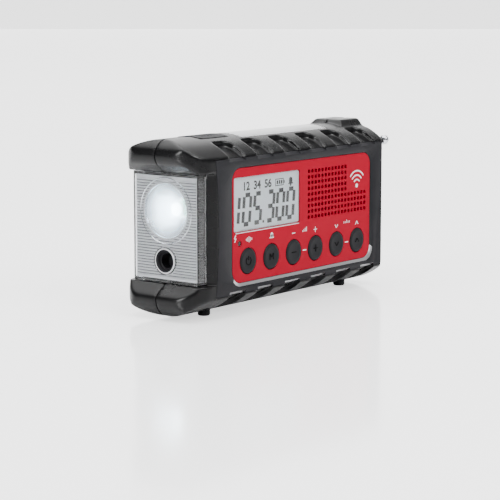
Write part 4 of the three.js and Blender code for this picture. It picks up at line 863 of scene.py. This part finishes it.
def makeLens():
    lo, hi = lensLo, lensHi
    plan = [(lo.x, lo.y, flash["corner"]), (hi.x, lo.y, 0), (hi.x, hi.y, 0), (lo.x, hi.y, flash["corner"])]
    cover = toObject(bar(plan, "z", lo.z, hi.z, 8))
    combine(cover, box(lo.x + 1.5, hi.x + 5, lo.y + 1.5, hi.y - 1.5, lo.z + 1.5, hi.z - 1.5))
    combine(cover, roundBar("x", (0, 0, soundCentre.z), 7.5, lo.x - 3, lo.x + 5))
    finish(cover, "lampCover", "case", mats["clear"], ("flashlight_lens",), bevel=0.25, segments=3)
    parts = [turned([(flash["ring"], lo.x + 1.9), (flash["ring"] + 0.4, lo.x + 1.55), (flash["ring"] + 0.8, lo.x + 1.9),
                     (flash["ring"], lo.x + 1.9)], "x", (0, 0, lampCentre.z), 64)]
    mark(parts, "lampCoverRing", "case", mats["silver"])


def makePlate():
    plate = toObject(box(plateLo.x + 0.3, plateHi.x, plateLo.y, plateHi.y, plateLo.z, plateHi.z))
    ribs = []
    count = int((plateHi.z - plateLo.z - 2) / flash["ribPitch"])
    for i in range(count):
        z = plateLo.z + 1.5 + i * flash["ribPitch"]
        ribs.append(roundBar("y", (plateLo.x + 0.42, 0, z), flash["ribRadius"], plateLo.y + 0.4, plateHi.y - 0.4, 8))
    combine(plate, together(*ribs), "UNION")
    combine(plate, roundBar("x", (0, 0, lampCentre.z), 15.6, plateLo.x - 4, plateHi.x + 4, 64))
    combine(plate, roundBar("x", (0, 0, soundCentre.z), 7.5, plateLo.x - 4, plateHi.x + 4, 48))
    finish(plate, "lampPlate", "case", mats["plate"], ("reflector_plate",), angle=40)
    # painted shade: dark grey strips laid into the creases between the ribs stand in for the shade there
    grooveShadeStrips = []
    for i in range(count - 1):
        z = plateLo.z + 1.5 + (i + 0.5) * flash["ribPitch"]
        grooveShadeStrips.append(box(plateLo.x + 0.1, plateLo.x + 0.5, plateLo.y + 0.6, plateHi.y - 0.6, z - 0.2, z + 0.2))
    lines = toObject(together(*grooveShadeStrips))
    combine(lines, roundBar("x", (0, 0, lampCentre.z), 16.2, plateLo.x - 4, plateHi.x + 4, 64))
    combine(lines, roundBar("x", (0, 0, soundCentre.z), 8.1, plateLo.x - 4, plateHi.x + 4, 48))
    finish(lines, "lampGrooveShade", "case", mats["grooveShade"])
    sides = []
    for side in (-1, 1):
        y = side * (plateHi.y - 0.15)
        for i in range(count):
            z = plateLo.z + 1.5 + i * flash["ribPitch"]
            for k in range(3):
                x = plateHi.x + 0.6 + k * 1.25
                sides.append(box(x - 0.45, x + 0.45, y - 0.3, y + 0.15, z - 0.5, z + 0.5))
    mark(sides, "lampSideStuds", "case", mats["armour"])


def makeCup():
    depth = cupHi.x - cupLo.x - 0.8
    profile = []
    for i in range(15):
        t = i / 14
        r = 4 + (flash["cup"] - 4) * math.sqrt(t)
        profile.append((r, cupLo.x + depth * (1 - t)))
    outer = [(15.4, cupLo.x), (15.1, cupLo.x + 3.3), (10.4, cupLo.x + 7.6), (4.8, cupHi.x), (4, cupHi.x),
             (4, cupLo.x + depth)]
    cup = toObject(turned(profile + outer, "x", (0, 0, lampCentre.z), 72))
    finish(cup, "lampCup", "case", mats["silver"], ("reflector_cup",), angle=40)
    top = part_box("led_board")[0].x * 1000
    led = toObject(turned([(0, top - 1.4), (1.5, top - 1.2), (2.9, top - 0.4), (3.8, top + 0.4), (3.8, top + 0.1),
                           (0, top - 0.1)], "x", (0, 0, lampCentre.z), 40))
    finish(led, "lampGlow", "case", mats["lampGlow"])
    rings = [(0, 4.6), (5, 4.2), (9, 3.2), (12.2, 1.8), (14.2, 0.8)]
    front = [(r, cupLo.x + h) for r, h in rings]
    back = [(r, cupLo.x + h + 0.3) for r, h in reversed(rings)]
    optic = toObject(turned(front + back, "x", (0, 0, lampCentre.z), 48))
    finish(optic, "lampOptic", "case", mats["lampOptic"])
    # painted glow: the optic's emission is strongest at the lamp's axis and fades to the rim
    nodes = mats["lampOptic"].node_tree.nodes  # the glow fades from the lamp's axis to the rim
    link = mats["lampOptic"].node_tree.links.new
    place = nodes.new("ShaderNodeTexCoord")
    away = nodes.new("ShaderNodeVectorMath")
    away.operation = "SUBTRACT"
    away.inputs[1].default_value = (0, 0, lampCentre.z / 1000)
    flat = nodes.new("ShaderNodeVectorMath")
    flat.operation = "MULTIPLY"
    flat.inputs[1].default_value = (0, 1, 1)
    reach = nodes.new("ShaderNodeVectorMath")
    reach.operation = "LENGTH"
    fade = nodes.new("ShaderNodeMapRange")
    fade.interpolation_type = "SMOOTHSTEP"
    for label, value in (("From Min", 0.0), ("From Max", 0.0142), ("To Min", 3.2), ("To Max", 0.12)):
        fade.inputs[label].default_value = value
    link(place.outputs["Object"], away.inputs[0])
    link(away.outputs["Vector"], flat.inputs[0])
    link(flat.outputs["Vector"], reach.inputs[0])
    link(reach.outputs["Value"], fade.inputs["Value"])
    link(fade.outputs["Result"], nodes["Principled BSDF"].inputs["Emission Strength"])


def makeSounder():
    lo, hi = edges("sounder")
    x = lo.x
    profile = [(0, hi.x), (6.9, hi.x), (7.2, x + 0.5), (6.9, x + 0.08), (6.2, x), (5.6, x + 0.25), (5.2, x + 0.8),
               (5.0, x + 2.4), (4.4, x + 2.6), (4.4, x + 8), (0, x + 8)]
    can = toObject(turned(profile, "x", (0, 0, soundCentre.z), 56))
    finish(can, "sounderCan", "case", mats["rubber"], ("sounder",), angle=40)
    rim = toObject(turned([(6.0, x + 0.3), (6.35, x - 0.0), (6.9, x + 0.02), (7.1, x + 0.35), (6.0, x + 0.3)], "x",
                          (0, 0, soundCentre.z), 56))
    finish(rim, "sounderRim", "case", mats["plate"])


makeLens()
makePlate()
makeCup()
makeSounder()
print("flashlight done")

# top: crowned light button with grip ribs, solar cells with grid lines under their cover
topParts = {"ribs": 5, "fingers": 14}


def makeLightButton():
    cap = toObject(crowned(halfDepth, case["edge"], case["crown"] + 0.3, lightLo.x, lightHi.x))
    outline = [(lightLo.x, lightLo.y, 3), (lightHi.x, lightLo.y, 3), (lightHi.x, lightHi.y, 3), (lightLo.x, lightHi.y, 3)]
    combine(cap, bar(outline, "z", midZ + 45.9, midZ + 60), "INTERSECT")
    for i in range(topParts["ribs"]):
        x = lightLo.x + 7 + i * 2.5
        combine(cap, box(x - 0.45, x + 0.45, lightLo.y + 4, lightHi.y - 4, midZ + case["crown"] - 0.5, midZ + 60))
    x = (lightLo.x + lightHi.x) / 2
    combine(cap, roundBar("z", (x, 0, 0), 2.5, lightLo.z, midZ + 46.4, 32), "UNION")
    finish(cap, "lightButton", "light_button", mats["rubber"], ("light_button",), bevel=0.35, segments=3)


def makeSolar():
    cover = toObject(crowned(halfDepth, case["edge"], case["crown"], solarLo.x, solarHi.x))
    combine(cover, crowned(halfDepth, case["edge"] - 1.2, case["crown"] - 1.2, solarLo.x - 1, solarHi.x + 1))
    outline = [(solarLo.x, solarLo.y, 1.5), (solarHi.x, solarLo.y, 1.5), (solarHi.x, solarHi.y, 1.5),
               (solarLo.x, solarHi.y, 1.5)]
    combine(cover, bar(outline, "z", midZ, midZ + 60), "INTERSECT")
    finish(cover, "solarCover", "case", mats["clear"], ("solar_cover",), bevel=0.2)
    lines = []
    top = cellsHi.z
    for i in range(topParts["fingers"]):
        x = cellsLo.x + (i + 0.5) * (cellsHi.x - cellsLo.x) / topParts["fingers"]
        lines.append(box(x - 0.1, x + 0.1, cellsLo.y + 0.6, cellsHi.y - 0.6, top - 0.02, top + 0.05))
    for y in (-4.5, 4.5):
        lines.append(box(cellsLo.x + 0.6, cellsHi.x - 0.6, y - 0.25, y + 0.25, top + 0.06, top + 0.12))
    mark(lines, "solarLines", "case", mats["silver"])


makeLightButton()
makeSolar()
print("top done")

# stage: pale glossy floor, white surround, soft lights
stage = {"key": 20, "fill": 22, "top": 150, "surround": 0.16, "backdrop": 7, "floorLift": 1.1,
         "card": 2.0, "cardAway": 7000}
floor = toObject(box(-30000, 30000, -30000, 30000, -20, 0), "floor")
floor.data.transform(Matrix.Scale(0.001, 4))
floorFinish = {"colour": (0.9, 0.9, 0.905), "rough": 0.12, "spread": 0.02, "mottle": 0.0, "shine": 0.5}
floorMat = material("floor", floorFinish)
floorNodes = floorMat.node_tree.nodes
lift = floorNodes.new("ShaderNodeMath")
lift.operation = "MULTIPLY"
lift.inputs[1].default_value = stage["floorLift"]
floorMat.node_tree.links.new(floorNodes.new("ShaderNodeLightPath").outputs["Is Camera Ray"], lift.inputs[0])
floorMat.node_tree.links.new(lift.outputs[0], floorNodes["Principled BSDF"].inputs["Emission Strength"])
floorNodes["Principled BSDF"].inputs["Emission Color"].default_value = (1, 1, 1, 1)
floor.data.materials.append(floorMat)
card = toObject(box(-12000, 12000, 0, 20, -10, 4500), "backdrop")  # a white card behind, which the glossy floor mirrors
yaw = math.radians(cameraPlace["yaw"])
card.data.transform(Matrix.Rotation(-yaw, 4, "Z") @ Matrix.Translation((0, stage["cardAway"], 0)))
card.data.transform(Matrix.Scale(0.001, 4))
cardMat = material("backdrop", {"colour": (0.9, 0.9, 0.9), "rough": 0.7, "glow": stage["card"],
                                "glowColour": (1, 1, 1)})
card.data.materials.append(cardMat)
world = bpy.data.worlds.new("studio")
world.use_nodes = True
sky = world.node_tree.nodes
rays = sky.new("ShaderNodeLightPath")
strength = sky.new("ShaderNodeMix")
strength.inputs["A"].default_value = stage["surround"]
strength.inputs["B"].default_value = stage["backdrop"]
world.node_tree.links.new(rays.outputs["Is Camera Ray"], strength.inputs["Factor"])
world.node_tree.links.new(strength.outputs["Result"], sky["Background"].inputs["Strength"])
sky["Background"].inputs["Color"].default_value = (1, 1, 1, 1)
scene.world = world


def softLight(name, place, aim, size, power):
    data = bpy.data.lights.new(name, "AREA")
    data.shape = "RECTANGLE"
    data.size, data.size_y = size
    data.energy = power
    lamp = bpy.data.objects.new(name, data)
    lamp.location = place
    lamp.rotation_euler = (Vector(aim) - Vector(place)).to_track_quat("-Z", "Y").to_euler()
    scene.collection.objects.link(lamp)


softLight("keyLight", (-0.15, -1.2, 0.9), (0, 0, 0.05), (0.7, 0.5), stage["key"])
softLight("fillLight", (-1.5, 0.25, 0.5), (-0.05, 0, 0.05), (0.5, 0.6), stage["fill"])
softLight("topLight", (0.2, 0.3, 2.2), (0.2, 0.3, 0), (3.6, 3.6), stage["top"])
